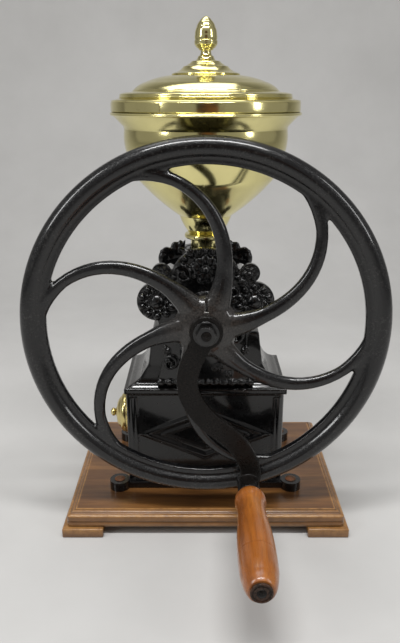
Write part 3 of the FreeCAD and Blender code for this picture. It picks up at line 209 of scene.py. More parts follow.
def stands_for(piece, *nodes):
    """The piece moves with its CAD nodes and hides them."""
    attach(piece, BODY_OF[nodes[0]])
    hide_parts(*nodes)
    return piece


def goes_with(piece, node):
    """An extra piece that moves with a CAD node."""
    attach(piece, BODY_OF[node])
    return piece


def paint(piece, finish):
    piece.data.materials.clear()
    piece.data.materials.append(finish)
    return piece


def eased(node, width, segments=2):
    """A machined or moulded piece with its sharp edges broken."""
    sharp = math.radians(35)
    bm = copy_of(node)
    bmesh.ops.dissolve_limit(bm, angle_limit=math.radians(0.5), verts=bm.verts, edges=bm.edges)
    edges = [edge for edge in bm.edges if len(edge.link_faces) == 2 and edge.calc_face_angle(0) > sharp]
    bmesh.ops.bevel(bm, geom=edges, offset=width * MM, affect="EDGES", segments=segments, profile=0.5,
                    material=-1, clamp_overlap=True)
    made = finished(node + "_eased", bm, merge=False)
    weighted = made.modifiers.new("Weighted", "WEIGHTED_NORMAL")
    weighted.keep_sharp = True
    return stands_for(made, node)


# ---------------------------------------------------------------- finishes

def feed(tree, socket, value):
    """Links an output to the socket, or sets the socket to a plain value."""
    if isinstance(value, bpy.types.NodeSocket):
        tree.links.new(value, socket)
    else:
        socket.default_value = value


def add_node(tree, kind, settings=None, **inputs):
    made = tree.nodes.new("ShaderNode" + kind)
    for name, value in (settings or {}).items():
        setattr(made, name, value)
    for name, value in inputs.items():
        feed(tree, made.inputs[name.replace("_", " ")], value)
    return made


def new_finish(name, **values):
    """A material, its node tree, its shader and the object's own coordinates."""
    finish = bpy.data.materials.new(name)
    finish.use_nodes = True
    tree = finish.node_tree
    shader = tree.nodes["Principled BSDF"]
    for key, value in values.items():
        shader.inputs[key.replace("_", " ")].default_value = value
    place = add_node(tree, "TexCoord").outputs["Object"]
    return finish, tree, shader, place


def noise(tree, place, scale, detail=4.0, roughness=0.6):
    made = add_node(tree, "TexNoise", Vector=place, Scale=scale, Detail=detail, Roughness=roughness)
    return made.outputs["Fac"]


def ramp(tree, value, *stops):
    """A colour ramp; each stop is (position, grey) or (position, (r, g, b))."""
    made = add_node(tree, "ValToRGB", Fac=value)
    elements = made.color_ramp.elements
    while len(elements) < len(stops):
        elements.new(0.5)
    for element, (position, shade) in zip(elements, stops):
        element.position = position
        colour = shade if isinstance(shade, tuple) else (shade,) * 3
        element.color = (*colour, 1)
    return made.outputs["Color"]


def reckoned(tree, operation, *values):
    """One step of arithmetic on outputs or plain numbers."""
    made = add_node(tree, "Math", {"operation": operation})
    for socket, value in zip(made.inputs, values):
        feed(tree, socket, value)
    return made.outputs[0]


def times(tree, first, second):
    return reckoned(tree, "MULTIPLY", first, second)


def dimmed(colour, share):
    return tuple(channel * share for channel in colour)


def mixed(tree, amount, first, second):
    """Colour first where the amount is 0, second where it is 1."""
    made = add_node(tree, "Mix", {"data_type": "RGBA"})
    for index, value in ((0, amount), (6, first), (7, second)):
        feed(tree, made.inputs[index], (*value, 1) if isinstance(value, tuple) else value)
    return made.outputs[2]


def bump(tree, shader, height, depth, strength=1.0):
    """Adds relief of the given depth in millimetres to the shader's normal."""
    made = add_node(tree, "Bump", Height=height, Distance=depth * MM, Strength=strength)
    tree.links.new(made.outputs["Normal"], shader.inputs["Normal"])


def worn_edges(tree, low, high):
    """White on the outer edges and crests of a fine mesh."""
    return ramp(tree, add_node(tree, "NewGeometry").outputs["Pointiness"], (low, 0.0), (high, 1.0))


def varnished_iron(name, dark, worn, gloss, speckle):
    """Black varnish over rough cast iron, rubbed through in specks and on the edges."""
    finish, tree, shader, place = new_finish(name, Metallic=0.0, Specular_IOR_Level=0.22,
                                             Coat_Weight=0.7, Coat_Roughness=0.09)
    grains = noise(tree, place, 620.0, 5.0, 0.7)
    patches = noise(tree, place, 34.0, 4.0, 0.65)
    specks = ramp(tree, grains, (0.56, 0.0), (0.66, 1.0))
    rubbed = ramp(tree, patches, (0.42, 0.15), (0.62, 1.0))
    spots = times(tree, times(tree, specks, rubbed), speckle)
    edges = times(tree, times(tree, worn_edges(tree, 0.52, 0.62), rubbed), 0.4)
    bare = reckoned(tree, "MAXIMUM", spots, edges)
    tree.links.new(mixed(tree, bare, dark, worn), shader.inputs["Base Color"])
    tree.links.new(ramp(tree, patches, (0.35, gloss), (0.7, gloss + 0.14)), shader.inputs["Roughness"])
    bump(tree, shader, noise(tree, place, 380.0, 4.0, 0.65), 0.5, 0.45)
    return finish


def wheel_finish(name):
    """The wheel's black enamel, which turns to brown bare iron on the handled hub."""
    finish, tree, shader, place = new_finish(name, Metallic=0.0, Specular_IOR_Level=0.22,
                                             Coat_Weight=0.75, Coat_Roughness=0.1)
    from_hub = add_node(tree, "VectorMath", {"operation": "DISTANCE"})
    feed(tree, from_hub.inputs[0], place)
    feed(tree, from_hub.inputs[1], (0, -WHEEL_PLANE * MM, AXLE_HIGH * MM))
    ragged = noise(tree, place, 60.0, 5.0, 0.7)
    shifted = reckoned(tree, "MULTIPLY_ADD", ragged, -0.03, from_hub.outputs["Value"])
    hub = ramp(tree, shifted, (0.014, 0.9), (0.036, 0.0))
    grains = noise(tree, place, 560.0, 5.0, 0.7)
    patches = noise(tree, place, 26.0, 4.0, 0.65)
    specks = ramp(tree, grains, (0.55, 0.0), (0.64, 1.0))
    rubbed = ramp(tree, patches, (0.4, 0.2), (0.6, 1.0))
    spots = times(tree, times(tree, specks, rubbed), 0.5)
    enamel = mixed(tree, spots, (0.0025, 0.0025, 0.003), (0.07, 0.068, 0.064))
    iron = ramp(tree, grains, (0.38, (0.007, 0.006, 0.0055)), (0.7, (0.05, 0.043, 0.038)))
    edges = times(tree, worn_edges(tree, 0.53, 0.63), rubbed)
    body = mixed(tree, hub, enamel, iron)
    tree.links.new(mixed(tree, times(tree, edges, 0.4), body, (0.16, 0.152, 0.14)),
                   shader.inputs["Base Color"])
    tree.links.new(ramp(tree, patches, (0.35, 0.2), (0.7, 0.36)), shader.inputs["Roughness"])
    bump(tree, shader, noise(tree, place, 330.0, 5.0, 0.7), 0.7, 0.6)
    return finish


def bare_iron(name, dark, light, roughness, rust=0.0):
    """Old unpainted iron, dark brown, with specks of rust."""
    finish, tree, shader, place = new_finish(name, Metallic=0.0, Specular_IOR_Level=0.16)
    grains = noise(tree, place, 520.0, 6.0, 0.7)
    patches = noise(tree, place, 55.0, 4.0, 0.6)
    tone = mixed(tree, ramp(tree, grains, (0.38, 0.0), (0.66, 1.0)), dark, light)
    rusty = times(tree, ramp(tree, patches, (0.45, 0.0), (0.62, 1.0)), rust)
    tree.links.new(mixed(tree, rusty, tone, (0.16, 0.055, 0.022)), shader.inputs["Base Color"])
    tree.links.new(ramp(tree, patches, (0.35, roughness - 0.1), (0.7, roughness + 0.12)),
                   shader.inputs["Roughness"])
    bump(tree, shader, grains, 0.3, 0.5)
    return finish


def polished_brass(name, tint, shine, stain=0.25):
    """Spun brass, polished by hand, with faint rings, haze and a few stains."""
    finish, tree, shader, place = new_finish(name, Metallic=1.0)
    haze = noise(tree, place, 22.0, 5.0, 0.65)
    stains = noise(tree, place, 70.0, 6.0, 0.75)
    spots = times(tree, ramp(tree, stains, (0.6, 0.0), (0.74, 1.0)), stain)
    clean = mixed(tree, ramp(tree, haze, (0.35, 0.0), (0.7, 1.0)), tint, dimmed(tint, 0.9))
    tree.links.new(mixed(tree, spots, clean, (0.36, 0.24, 0.11)), shader.inputs["Base Color"])
    tree.links.new(ramp(tree, haze, (0.3, shine), (0.75, shine + 0.09)), shader.inputs["Roughness"])
    bump(tree, shader, noise(tree, place, 26.0, 2.0, 0.5), 0.25, 0.07)
    return finish


def plain_metal(name, tint, roughness):
    """Turned or rolled metal with fine marks of the tool."""
    finish, tree, shader, place = new_finish(name, Metallic=1.0)
    marks = noise(tree, place, 380.0, 4.0, 0.6)
    tree.links.new(mixed(tree, marks, dimmed(tint, 0.75), tint), shader.inputs["Base Color"])
    tree.links.new(ramp(tree, marks, (0.3, roughness - 0.08), (0.7, roughness + 0.1)),
                   shader.inputs["Roughness"])
    bump(tree, shader, marks, 0.05, 0.4)
    return finish


def wood(name, along, dark, mid, light, gloss, wear=None):
    """Varnished wood with its grain along one axis; wear names the attribute of its rubbed edges."""
    finish, tree, shader, place = new_finish(name, Coat_Weight=0.5, Coat_Roughness=0.18,
                                             Specular_IOR_Level=0.5)
    stretch = [9.0, 9.0, 9.0]
    stretch["XYZ".index(along)] = 0.55
    rods = add_node(tree, "Mapping", Vector=place, Scale=tuple(stretch)).outputs["Vector"]
    bands = noise(tree, rods, 7.0, 3.0, 0.55)
    fibres = noise(tree, rods, 55.0, 5.0, 0.65)
    cloud = noise(tree, place, 16.0, 3.0, 0.5)
    tone = ramp(tree, bands, (0.32, dark), (0.5, mid), (0.68, light))
    lined = mixed(tree, ramp(tree, fibres, (0.36, 0.4), (0.52, 0.0)), tone, dimmed(dark, 0.4))
    body = mixed(tree, ramp(tree, cloud, (0.35, 0.45), (0.65, 0.0)), lined, dimmed(mid, 0.55))
    if wear:
        edge = add_node(tree, "Attribute", {"attribute_name": wear}).outputs["Fac"]
        rough = ramp(tree, noise(tree, place, 120.0, 4.0, 0.7), (0.3, 0.25), (0.6, 1.0))
        body = mixed(tree, times(tree, edge, rough), body, (0.37, 0.19, 0.06))
    tree.links.new(body, shader.inputs["Base Color"])
    tree.links.new(ramp(tree, fibres, (0.3, gloss + 0.12), (0.6, gloss)), shader.inputs["Roughness"])
    bump(tree, shader, fibres, 0.12, 0.4)
    return finish


FINISHES = {
    "blackened_iron": varnished_iron("varnished_casting", (0.002, 0.002, 0.0023), (0.07, 0.068, 0.065),
                                     gloss=0.2, speckle=0.26),
    "wheel_enamel": wheel_finish("flywheel_enamel"),
    "bare_iron": bare_iron("crank_iron", (0.002, 0.0018, 0.0017), (0.012, 0.01, 0.0088), 0.26),
    "brass_sheet": polished_brass("hopper_brass", (0.88, 0.80, 0.38), 0.11),
    "plinth_wood": wood("plinth_walnut", "X", (0.075, 0.029, 0.008), (0.15, 0.062, 0.0165),
                        (0.225, 0.1, 0.027), gloss=0.3, wear="wear"),
    "grip_wood": wood("grip_varnish", "Y", (0.2, 0.058, 0.01), (0.32, 0.1, 0.017),
                      (0.43, 0.155, 0.026), gloss=0.26),
    "machined_steel": plain_metal("turned_steel", (0.36, 0.35, 0.34), 0.34),
    "tray_steel": plain_metal("tinned_sheet", (0.5, 0.5, 0.49), 0.42),
    "bearing_bronze": plain_metal("bearing_bronze", (0.6, 0.4, 0.2), 0.36),
}
RUSTY = bare_iron("rusty_screw", (0.035, 0.02, 0.012), (0.13, 0.06, 0.03), 0.6, 0.85)
WASHER_IRON = bare_iron("washer_iron", (0.012, 0.008, 0.006), (0.06, 0.04, 0.03), 0.24, 0.3)
KNOB_BRASS = polished_brass("knob_brass", (0.72, 0.6, 0.26), 0.2, 0.55)


# ---------------------------------------------------------------- wooden plinth

def rounded_rectangle(bm, half_x, half_y, radius):
    """A flat face with rounded corners; returns it."""
    bmesh.ops.create_grid(bm, x_segments=1, y_segments=1, size=1,
                          matrix=Matrix.Diagonal((half_x, half_y, 1, 1)))
    bmesh.ops.bevel(bm, geom=bm.verts[:], offset=radius, affect="VERTICES", segments=5, profile=0.5,
                    material=-1)
    return bm.faces[:][0]


def plinth_board():
    """Moulded board: each step is (inset, height, how rubbed the edge is)."""
    low, high = (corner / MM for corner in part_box("base_board"))
    thick = high.z - low.z
    steps = [(1.2, 0, 0.2), (0, 1.2, 0.5), (0, 5.6, 0.1), (0.9, 6.4, 0.0), (0.9, 7.0, 0.0),
             (0.1, 7.8, 0.6), (0, 9, 0.2), (0, 12.6, 0.2), (0.6, 14.1, 0.9), (2.0, 15, 0.9),
             (4.6, 15.2, 0.2), (5.2, 15.4, 0.0), (5.6, 16.4, 0.1), (6.6, 17.6, 0.5), (8.0, 18.1, 0.6),
             (8.6, 17.7, 0.0), (9.2, 17.7, 0.0), (9.8, thick, 1.0), (10.9, thick, 0.8),
             (11.8, thick, 0.0)]
    bm = bmesh.new()
    wear = bm.verts.layers.float.new("wear")
    radius = 5.0
    bottom = rounded_rectangle(bm, high.x, high.y, radius)
    edges = list(bottom.edges)
    corner = Vector((high.x - radius, high.y - radius))

    def settle(verts, inset, height, rubbed):
        for vert in verts:
            side = Vector((math.copysign(corner.x, vert.co.x), math.copysign(corner.y, vert.co.y)))
            out = (vert.co.xy - side).normalized() * max(radius - inset, 0.01)
            pulled = max(0.0, inset - radius)
            middle = Vector((side.x - math.copysign(pulled, side.x), side.y - math.copysign(pulled, side.y)))
            vert.co = (*(middle + out), height)
            vert[wear] = rubbed

    settle(bottom.verts, *steps[0])
    for step in steps[1:]:
        ring, edges = grown_ring(bm, edges)
        settle(ring, *step)
    bmesh.ops.edgeloop_fill(bm, edges=edges)
    made = finished("plinth_board", bm, placed(0, 0, low.z), smooth_below=50)
    stands_for(paint(made, FINISHES["plinth_wood"]), "base_board")


def plinth_foot(node):
    """Flat block with rubbed upper edges."""
    low, high = (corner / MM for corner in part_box(node))
    half, middle = (high - low) / 2, (high + low) / 2
    bm = bmesh.new()
    wear = bm.verts.layers.float.new("wear")
    bmesh.ops.create_cube(bm, size=1, matrix=Matrix.Diagonal((*(half * 2), 1)))
    bmesh.ops.bevel(bm, geom=bm.edges[:], offset=1.4, affect="EDGES", segments=3, profile=0.5, material=-1)
    for vert in bm.verts:
        vert[wear] = 0.7 if vert.co.z > half.z - 1.5 else 0.15
    made = finished(node + "_block", bm, placed(*middle), smooth_below=50)
    stands_for(paint(made, FINISHES["plinth_wood"]), node)


# ---------------------------------------------------------------- black castings

def stood_up(bm, depth, height):
    """Turns a relief that was drawn flat to the front, round a point at that depth and height."""
    bmesh.ops.recalc_face_normals(bm, faces=bm.faces)
    bm.transform(placed(0, depth, height, FRONT))
    return bm


def joined(first, second):
    """Both patterns in one."""
    spare = bpy.data.meshes.new("spare")
    second.to_mesh(spare)
    second.free()
    first.from_mesh(spare)
    bpy.data.meshes.remove(spare)
    return first


def casting(name, node, grain, rounding, relief=None):
    """A casting or forging of the CAD's shape, with its relief run into it."""
    pattern = joined(copy_of(node), relief) if relief else copy_of(node)
    made = cast_iron_skin(name, finished(name + "_pattern", pattern, merge=False), grain, rounding)
    stands_for(paint(made, FINISHES[SLOT_OF[node]]), node)


def add_rosette(bm, x, y, radius, petals, start=0.0):
    """A flower: a ring of leaning petals round a bead."""
    for i in range(petals):
        angle = start + 2 * math.pi * i / petals
        reach = radius * 0.62
        add_pebble(bm, x + reach * math.cos(angle), y + reach * math.sin(angle), 1.6,
                   radius * 0.8, radius * 0.62, radius * 0.42, angle)
    add_pebble(bm, x, y, 2.6, radius * 0.55, radius * 0.55, radius * 0.6)


def add_scroll(bm, x, y, radius, start, hand, turns=1.4, thick=4.2):
    """A leaf scroll that winds in to a bead."""
    count = 22
    path, widths, thicks = [], [], []
    for i in range(count):
        t = i / (count - 1)
        reach = radius * (1 - 0.78 * t)
        angle = start + hand * turns * 2 * math.pi * t
        path.append(Vector((x + reach * math.cos(angle), y + reach * math.sin(angle), 1.4 + 1.6 * t)))
        widths.append(thick * (1 - 0.45 * t))
        thicks.append(5.0 + 1.5 * t)
    add_swept(bm, path, widths, thicks, sides=10)
    add_pebble(bm, *path[-1].xy, 2.4, thick * 1.1, thick * 1.1, 7)


def add_leaf(bm, x, y, length, turn, fingers=5):
    """A fan of blunt leaf fingers round a mid rib."""
    for i in range(fingers):
        share = i / (fingers - 1) - 0.5
        angle = turn + share * 1.7
        reach = length * (0.36 + 0.14 * (1 - abs(share) * 2))
        add_pebble(bm, x + reach * math.cos(angle), y + reach * math.sin(angle), 1.3,
                   length * (0.62 - abs(share) * 0.3), length * 0.2, 4.6, angle)


def cover_ornament():
    """Rose, scrolls, leaves and beads that cover the front of the mill."""
    bm = bmesh.new()
    lobe_x, lobe_y = 56, 13.4
    for petals, radius, start in ((9, 17, 0.2), (6, 11, 0.6)):
        add_rosette(bm, 0, 52, radius, petals, start)
    for i in range(13):
        angle = math.radians(12 + 13 * i)
        add_pebble(bm, 37.5 * math.cos(angle), 35 + 37.5 * math.sin(angle), 1.2, 7.6, 6.0, 6.5, angle)
    for side in (-1, 1):
        turn = 0 if side > 0 else math.pi
        add_scroll(bm, side * 26, 46, 11, turn + side * 0.6, side)
        add_scroll(bm, side * 31, 24, 9, turn - side * 1.2, -side)
        add_leaf(bm, side * 15, 68, 12, math.radians(90 - side * 35))
        add_leaf(bm, side * 38, 33, 13, turn + side * 0.7)
        add_rosette(bm, side * 50.3, 46.4, 8.5, 6)
        add_pebble(bm, side * lobe_x, lobe_y, 0.6, 24, 24, 5)
        for i in range(10):
            angle = 2 * math.pi * (i + 0.5) / 10
            for reach, lead, bead in ((17.6, 0, (1.2, 8.5, 7.4, 6.5)), (12.2, 0.31, (1.4, 5.0, 3.6, 6.0))):
                x = side * lobe_x + reach * math.cos(angle + lead)
                y = lobe_y + reach * math.sin(angle + lead)
                add_pebble(bm, x, y, *bead, angle)
        add_scroll(bm, side * 36, -26, 11, turn + side * 1.6, side)
        add_scroll(bm, side * 23, -50, 10, turn - side * 0.8, -side)
        add_scroll(bm, side * 42, -62, 9, turn + side * 1.2, side)
        add_leaf(bm, side * 12, -62, 15, math.radians(-90 + side * 30))
        add_leaf(bm, side * 44, -42, 12, turn - side * 0.9)
        add_leaf(bm, side * 26, -72, 11, math.radians(-90 + side * 12))
    for i in range(11):
        add_pebble(bm, -53 + 10.6 * i, -87, 1.0, 10.4, 8.0, 6.0)
    return stood_up(bm, -COVER_FACE, AXLE_HIGH)


def front_cover():
    casting("ornamented_cover", "front_cover", 0.8, 1, cover_ornament())


def leaf_crown():
    """Leaves and knobs behind the ornament, either side of the hopper's foot."""
    bm = bmesh.new()
    base = SOCKET_RIM - 4 - AXLE_HIGH
    for side in (-1, 1):
        stem = [Vector((side * (28 + 22 * t), base - 8 - 6 * t * t, 0)) for t in (0, 0.25, 0.5, 0.75, 1)]
        add_swept(bm, stem, [12, 10, 8, 8, 8], [10, 9, 8, 8, 8])
        add_pebble(bm, side * 51, base - 9, 0, 12, 20, 11)
        add_pebble(bm, side * 51, base - 1, 0, 8, 7, 8)
        for reach, rise, wide, long, lean in ((33, -3, 17, 31, 0.3), (41, -8, 12, 24, 0.75),
                                              (29, 2, 9, 24, 0.1)):
            add_pebble(bm, side * reach, base + rise, 0, wide, long, 7, -side * lean)
    casting("crown_leaves", "leaf_crown", 0.8, 3, stood_up(bm, 0, AXLE_HIGH))


def mill_housing():
    casting("housing_casting", "mill_housing", 1.6, 2)


def add_spoke(bm, turn):
    """A curved spoke at that turn in degrees, stout at its root, and the heel that leads it into the rim."""
    inner, outer, steps = 16, 182, 24
    path, widths, thicks = [], [], []
    for step in range(steps + 1):
        reach = inner + (outer - inner) * step / steps
        t = max(0.0, (reach - 27) / 145)
        angle = math.radians(turn + 5 + 30 * t + 13.3 * t ** 4)
        path.append(Vector((reach * math.cos(angle), reach * math.sin(angle), 0)))
        root = max(0, 0.24 - t)
        widths.append(20 - 7.5 * min(1, t) + 40 * root)
        thicks.append(13 - 2.5 * min(1, t) + 26 * root)
    add_swept(bm, path, widths, thicks)
    heel, widths = [], []
    for step in range(9):
        t = step / 8
        reach = 152 + 28 * math.sin(t * math.pi / 2)
        angle = math.radians(turn + 38.5 + 27 * t)
        heel.append(Vector((reach * math.cos(angle), reach * math.sin(angle), 0)))
        widths.append(9.5 - 3 * t)
    add_swept(bm, heel, widths, [9.5] * len(heel))


def flywheel():
    """Round rim, flat lip, six curved spokes and a domed hub, cast in one, with the key's slot."""
    line, lip, hub = 189, 172, 33
    rim_ring = [(line - 11, 0), (line, -11, 4.56), (line + 11, 0, 3.22), (line, 11, 3.22), (line - 11, 0, 3.22)]
    lip_ring = [(lip, -4.6), (lip + 12, -5), (lip + 12, 5), (lip, 4.6), (lip - 0.6, 0), (lip, -4.6)]
    hub_dome = [(0, -18), (hub - 4, -18), (hub, -14, 1), (hub + 2, -6, 0.5), (hub, 3, 1), (hub - 9, 9.5, 1),
                (hub - 16, 12), (0, 12)]
    bm = bmesh.new()
    add_turned(bm, rim_ring, steps=180)
    add_turned(bm, lip_ring, steps=180)
    add_turned(bm, hub_dome, steps=72)
    for turn in range(0, 360, 60):
        add_spoke(bm, turn)
    pattern = finished("wheel_pattern", bm, placed(0, -WHEEL_PLANE, AXLE_HIGH, FRONT))
    made = cast_iron_skin("flywheel_skin", pattern, 1.5, 5)
    slotted = grooved(made, "flywheel_casting", (0.5, -WHEEL_PLANE - 9, AXLE_HIGH + 26), (2.6, 12, 17))
    stands_for(paint(slotted, FINISHES["wheel_enamel"]), "flywheel")


def crank_arm():
    casting("crank_forging", "crank_arm", 0.8, 5)


def box_mouldings():
    """Raised bars that frame the front and draw its lozenge, with a small boss in the middle."""
    low, high = (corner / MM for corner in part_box("drawer_box"))
    tall, wide = high.z - low.z, high.x - low.x
    bm = bmesh.new()
    for reach, rise, thick in ((74, 29, 3.4), (52, 18.5, 2.2)):
        corners = [Vector((reach, 0, 0)), Vector((0, rise, 0)), Vector((-reach, 0, 0)), Vector((0, -rise, 0))]
        for start, end in zip(corners, corners[1:] + corners[:1]):
            add_swept(bm, [start, end], [thick] * 2, [4.5] * 2, sides=10)
    add_pebble(bm, 0, 0, 0, 12, 12, 5)
    add_pebble(bm, 0, 0, 1.4, 6, 6, 4)
    for side in (-1, 1):
        for inset in (6.5, 11.5):
            across = side * (wide / 2 - inset - 2.5)
            add_swept(bm, [Vector((across, -tall / 2 + 5, 0)), Vector((across, tall / 2 - 12, 0))],
                      [2.6] * 2, [3.0] * 2, sides=10)
    return stood_up(bm, low.y + BOX_PANEL, (low.z + high.z) / 2)


def drawer_box():
    casting("box_casting", "drawer_box", 1.3, 1, box_mouldings())


# ---------------------------------------------------------------- brass

def turned_piece(name, corners, place, turn, finish, *nodes, steps=144):
    bm = bmesh.new()
    add_turned(bm, corners, steps=steps)
    made = finished(name, bm, placed(*place, turn), smooth_below=32)
    return stands_for(paint(made, finish), *nodes)


def hopper():
    """Spun bowl with a ring round its neck and a rolled rim."""
    outside = [(18.8, -15.5), (18.8, 18.5, -2.5), (30.8, 40, 1.2), (79, 83.1, 2.2), (90.9, 108.8, 0.4),
               (93, 140.6, -1.6), (104.1, 151.9), (106.3, 152.4, 0.3), (107.1, 154, 0.6),
               (106.3, 155.6, 0.6), (104.9, 156)]
    inside = [(101.5, 156), (101.5, 153.3, 1.6), (91.6, 141.2, -0.4), (89.5, 109.2, -2.2),
              (77.9, 84.5, -1.2), (29.7, 41.4, 2.5), (17.4, 19.3), (17.4, -15.5), (18.8, -15.5)]
    finish = FINISHES["brass_sheet"]
    turned_piece("hopper_spun_bowl", outside + inside, (0, 0, SOCKET_RIM), UP, finish, "hopper_bowl")
    ring = [(18.9, 0), (22.5, 0, 0.5), (24.7, 2.8, 0.9), (22.5, 5.6, 0.9), (18.9, 5.6), (18.9, 0)]
    turned_piece("neck_bead", ring, (0, 0, SOCKET_RIM + 12.9), UP, finish, "neck_collar")


def lid():
    """Lid with its band, raised ring, low dome, cap and acorn."""
    finish = FINISHES["brass_sheet"]
    side = 104.3
    outside = [(side, 0.3), (side, 12.4), (97.2, 14.1, -0.4), (95.6, 14.3), (95.9, 16.4, 0.9),
               (95.2, 18.9, 0.5), (93.6, 19.3), (84.6, 20.6, 0.3), (82.2, 21.3, -0.3), (81.2, 21.9),
               (80.6, 23, 0.2), (66.7, 31.3, 1.1), (37.7, 38.3, 1.2), (4.1, 38.3)]
    inside = [(4.1, 36.9), (37.4, 36.9, -1.2), (66, 29.9, -1), (79.7, 20.5), (93.6, 17.8), (93.6, 13.3),
              (side - BRASS, 10.7), (side - BRASS, 0.3), (side, 0.3)]
    turned_piece("lid_spun_cover", outside + inside, (0, 0, HOPPER_RIM), UP, finish, "hopper_lid")
    band = [(104.4, 0), (105.5, 0), (105.8, 0.4), (105.8, 9.6), (105.3, 10.2, 0.1), (105.6, 11.3),
            (105.0, 11.8), (104.4, 11.8), (104.4, 0)]
    turned_piece("lid_rolled_band", band, (0, 0, HOPPER_RIM + 0.3), UP, finish, "lid_band")
    top = HOPPER_RIM + 38.3
    cap = [(4.1, 0), (37, 0), (37.7, 0.5, 0.3), (37.3, 1.8, 0.4), (35.4, 2.6), (24.7, 9.2, -1.2),
           (19.5, 11.6, -0.5), (17.6, 12.4), (16.8, 13.3), (4.1, 13.3), (4.1, 0)]
    turned_piece("lid_raised_cap", cap, (0, 0, top), UP, finish, "lid_cap")
    acorn = [(0, -21), (4, -21), (4, 0), (16.5, 0), (14.8, 1.4, 0.3), (8.6, 6.2, -1.6), (6, 9.4, -0.6),
             (6.2, 12.6, -0.4), (8.2, 13.5, 0.5), (8.0, 14.2), (11.2, 16.6, 0.7), (12.6, 20.2, 0.5),
             (12.7, 21.9, 0.1), (12.0, 22.6), (12.2, 23.4), (12.0, 28.5, 0.3), (10.2, 35.8, 0.5),
             (6.4, 42.3, 0.6), (2.4, 46.0, 0.3), (0, 46.8, 0.15)]
    turned_piece("acorn_finial", acorn, (0, 0, top + 13.3), UP, finish, "lid_finial", steps=72)


def band_seam():
    """Where the end of the band's strip laps over its start."""
    bm = bmesh.new()
    add_turned(bm, [(105.7, 0.5), (106.2, 0.5), (106.2, 9.4), (105.7, 9.4), (105.7, 0.5)], steps=24,
               turn=math.radians(-58), start=math.radians(-116))
    bmesh.ops.holes_fill(bm, edges=[edge for edge in bm.edges if edge.is_boundary])
    made = finished("band_seam", bm, placed(0, 0, HOPPER_RIM + 0.3))
    goes_with(paint(made, FINISHES["brass_sheet"]), "lid_band")


def knob():
    """Hollow brass dome with rings and a round-headed bolt."""
    low, high = (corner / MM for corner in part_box("knob_dome"))
    middle = (low + high) / 2
    radius, long = (high.y - low.y) / 2, high.x - low.x
    seat = (high.x, middle.y, middle.z)
    dome = [(3.1, 0), (radius - 0.8, 0), (radius, 1.2, 0.6), (radius - 0.6, 3.2, 0.5), (radius - 3.4, 4.2),
            (radius - 4.0, 5.4), (radius - 8.5, long * 0.6, 2.2), (9.6, long * 0.86, 1.6), (7.4, long * 0.8),
            (5.4, long * 0.94, 0.4), (3.1, long), (3.1, 0)]
    turned_piece("knob_spun_dome", dome, seat, LEFT, KNOB_BRASS, "knob_dome", steps=96)
    paint(eased("knob_bolt", 0.3), KNOB_BRASS)


# ---------------------------------------------------------------- handle

def handle():
    """Turned grip with a scored line, its end washer and riveted spindle."""
    low, high = (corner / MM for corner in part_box("handle_grip"))
    long = high.y - low.y
    score = long * 0.68
    grip = [(4.6, 0), (13.2, 0), (14.5, 1.2, 0.4), (17, long * 0.06, 0.7), (17.1, long * 0.085),
            (15, long * 0.17, -0.6), (15.4, long * 0.26, -0.2), (17.4, long * 0.42, -0.2),
            (18.85, score - 0.5, 0.5), (18.0, score), (18.85, score + 0.5), (18.6, long * 0.8, 0.25),
            (16.6, long * 0.92, 0.6), (13.6, long * 0.99, 0.5), (12.2, long), (4.6, long), (4.6, 0)]
    turned_piece("turned_grip", grip, (GRIP_X, high.y, GRIP_Z), FRONT, FINISHES["grip_wood"], "handle_grip",
                 steps=96)
    ringed = [(4.6, 0), (10.5, 0), (10.5, 1.5), (9.8, 2.5, 0.25), (8.7, 2.5), (8.3, 1.6), (7.4, 1.6),
              (7.0, 2.4, 0.2), (4.6, 2.4), (4.6, 0)]
    seat = (GRIP_X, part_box("handle_washer")[1].y / MM, GRIP_Z)
    turned_piece("ringed_washer", ringed, seat, FRONT, WASHER_IRON, "handle_washer", steps=72)
    paint(eased("handle_spindle", 0.4, 3), FINISHES["bare_iron"])


# ---------------------------------------------------------------- the rest of the mill

EASED = {
    "drawer_front": 0.6, "foot_frame": 0.9, "rear_cover": 0.7, "rear_cover_screws": 0.3, "lock_nut": 0.4,
    "adjusting_screw": 0.4, "wheel_key": 0.4, "hopper_screws": 0.2, "drawer_rivets": 0.2,
}


def small_pieces():
    for node, width in EASED.items():
        paint(eased(node, width), FINISHES[SLOT_OF[node]])
    for node in ("cover_bolts", "crank_nut", "crank_washer"):
        paint(eased(node, 0.5), FINISHES["blackened_iron"])
    paint(eased("main_shaft", 0.4), FINISHES["bare_iron"])
    paint(eased("board_screws", 0.5), RUSTY)


def kept_nodes():
    """Inner pieces keep their CAD shape and get their finish."""
    for node, shown in frame["nodes"].items():
        paint(shown, FINISHES[SLOT_OF[node]])


# ---------------------------------------------------------------- studio

def backdrop():
    """Pale floor that curves up into a wall; sizes in metres."""
    front, bend, back, top, half_width = -3.5, 0.75, 1.55, 3.2, 4
    curve = arc_points(Vector((bend, 0)), Vector((back, 0.8)), 0.234, 16)
    line = [Vector((front, 0)), Vector((bend, 0)), *curve, Vector((back, top))]
    bm = bmesh.new()
    verts = [bm.verts.new((-half_width, point.x, point.y)) for point in line]
    edges = [bm.edges.new(pair) for pair in zip(verts, verts[1:])]
    far_verts, _ = grown_ring(bm, edges)
    bmesh.ops.translate(bm, vec=(2 * half_width, 0, 0), verts=list(far_verts))
    made = finished("studio_floor", bm, merge=False, smooth_below=60)
    finish, tree, shader, place = new_finish("pale_floor", Specular_IOR_Level=0.2)
    cloth = noise(tree, place, 5.0, 4.0, 0.6)
    tree.links.new(ramp(tree, cloth, (0.3, (0.465, 0.46, 0.45)), (0.7, (0.51, 0.505, 0.495))),
                   shader.inputs["Base Color"])
    shader.inputs["Roughness"].default_value = 0.75
    paint(made, finish)


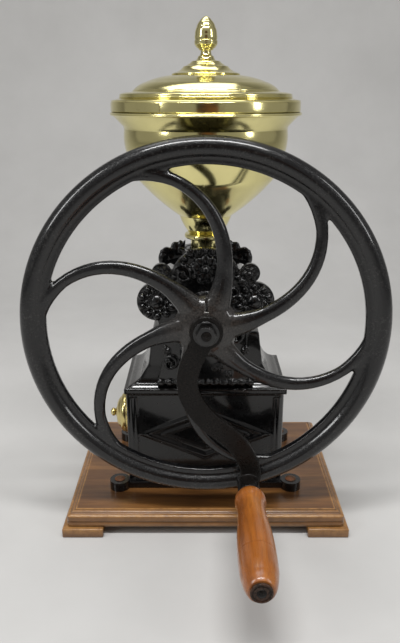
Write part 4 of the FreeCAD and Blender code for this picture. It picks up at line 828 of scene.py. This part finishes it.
def softbox(name, place, aim, width, height, watts):
    lamp = bpy.data.lights.new(name, "AREA")
    lamp.shape = "RECTANGLE"
    lamp.size, lamp.size_y, lamp.energy = width, height, watts
    made = in_scene(name, lamp)
    made.location = place
    made.rotation_euler = (Vector(aim) - Vector(place)).to_track_quat("-Z", "Y").to_euler()


def brown_card():
    """A dark card behind the camera, only there to be mirrored in the brass."""
    spot = Matrix.Translation((0.05, -1.9, 0.75)) @ FRONT @ Matrix.Diagonal((0.42, 0.6, 1, 1))
    bm = bmesh.new()
    bmesh.ops.create_grid(bm, x_segments=1, y_segments=1, size=1, matrix=spot)
    made = finished("brown_card", bm, merge=False)
    finish, tree, shader, place = new_finish("brown_card", Roughness=0.9)
    tree.links.new(ramp(tree, noise(tree, place, 3.0), (0.4, (0.03, 0.02, 0.014)), (0.6, (0.2, 0.075, 0.02))),
                   shader.inputs["Base Color"])
    made.visible_camera = False
    paint(made, finish)


def camera():
    """Stands a little above the hopper and looks slightly down."""
    lens = bpy.data.cameras.new("camera")
    lens.lens = 36.95
    lens.sensor_width = 36
    made = in_scene("camera", lens)
    made.location = (-0.0065, -0.780, 0.4895)
    made.rotation_euler = (math.radians(90 - 18.62), 0, 0)
    bpy.context.scene.camera = made


def studio():
    backdrop()
    bpy.context.scene.view_settings.view_transform = "Standard"
    middle = (0, 0, 0.3)
    softbox("key_light", (0.0, -0.7, 1.75), middle, 1.3, 0.16, 29)
    softbox("left_light", (-1.4, -0.9, 1.2), middle, 0.2, 1.0, 9)
    softbox("right_light", (1.4, -0.8, 1.0), middle, 0.2, 0.9, 5)
    softbox("top_light", (-0.1, 0.35, 1.9), middle, 1.3, 0.8, 8)
    brown_card()
    world = bpy.data.worlds.new("soft_room")
    world.use_nodes = True
    glow = world.node_tree.nodes["Background"].inputs
    glow["Color"].default_value = (0.61, 0.6, 0.585, 1)
    glow["Strength"].default_value = 0.45
    bpy.context.scene.world = world
    camera()


plinth_board()
for corner in ("front_left", "front_right", "rear_left", "rear_right"):
    plinth_foot(corner + "_foot")
front_cover()
leaf_crown()
mill_housing()
flywheel()
crank_arm()
drawer_box()
hopper()
lid()
band_seam()
knob()
handle()
small_pieces()
kept_nodes()
studio()
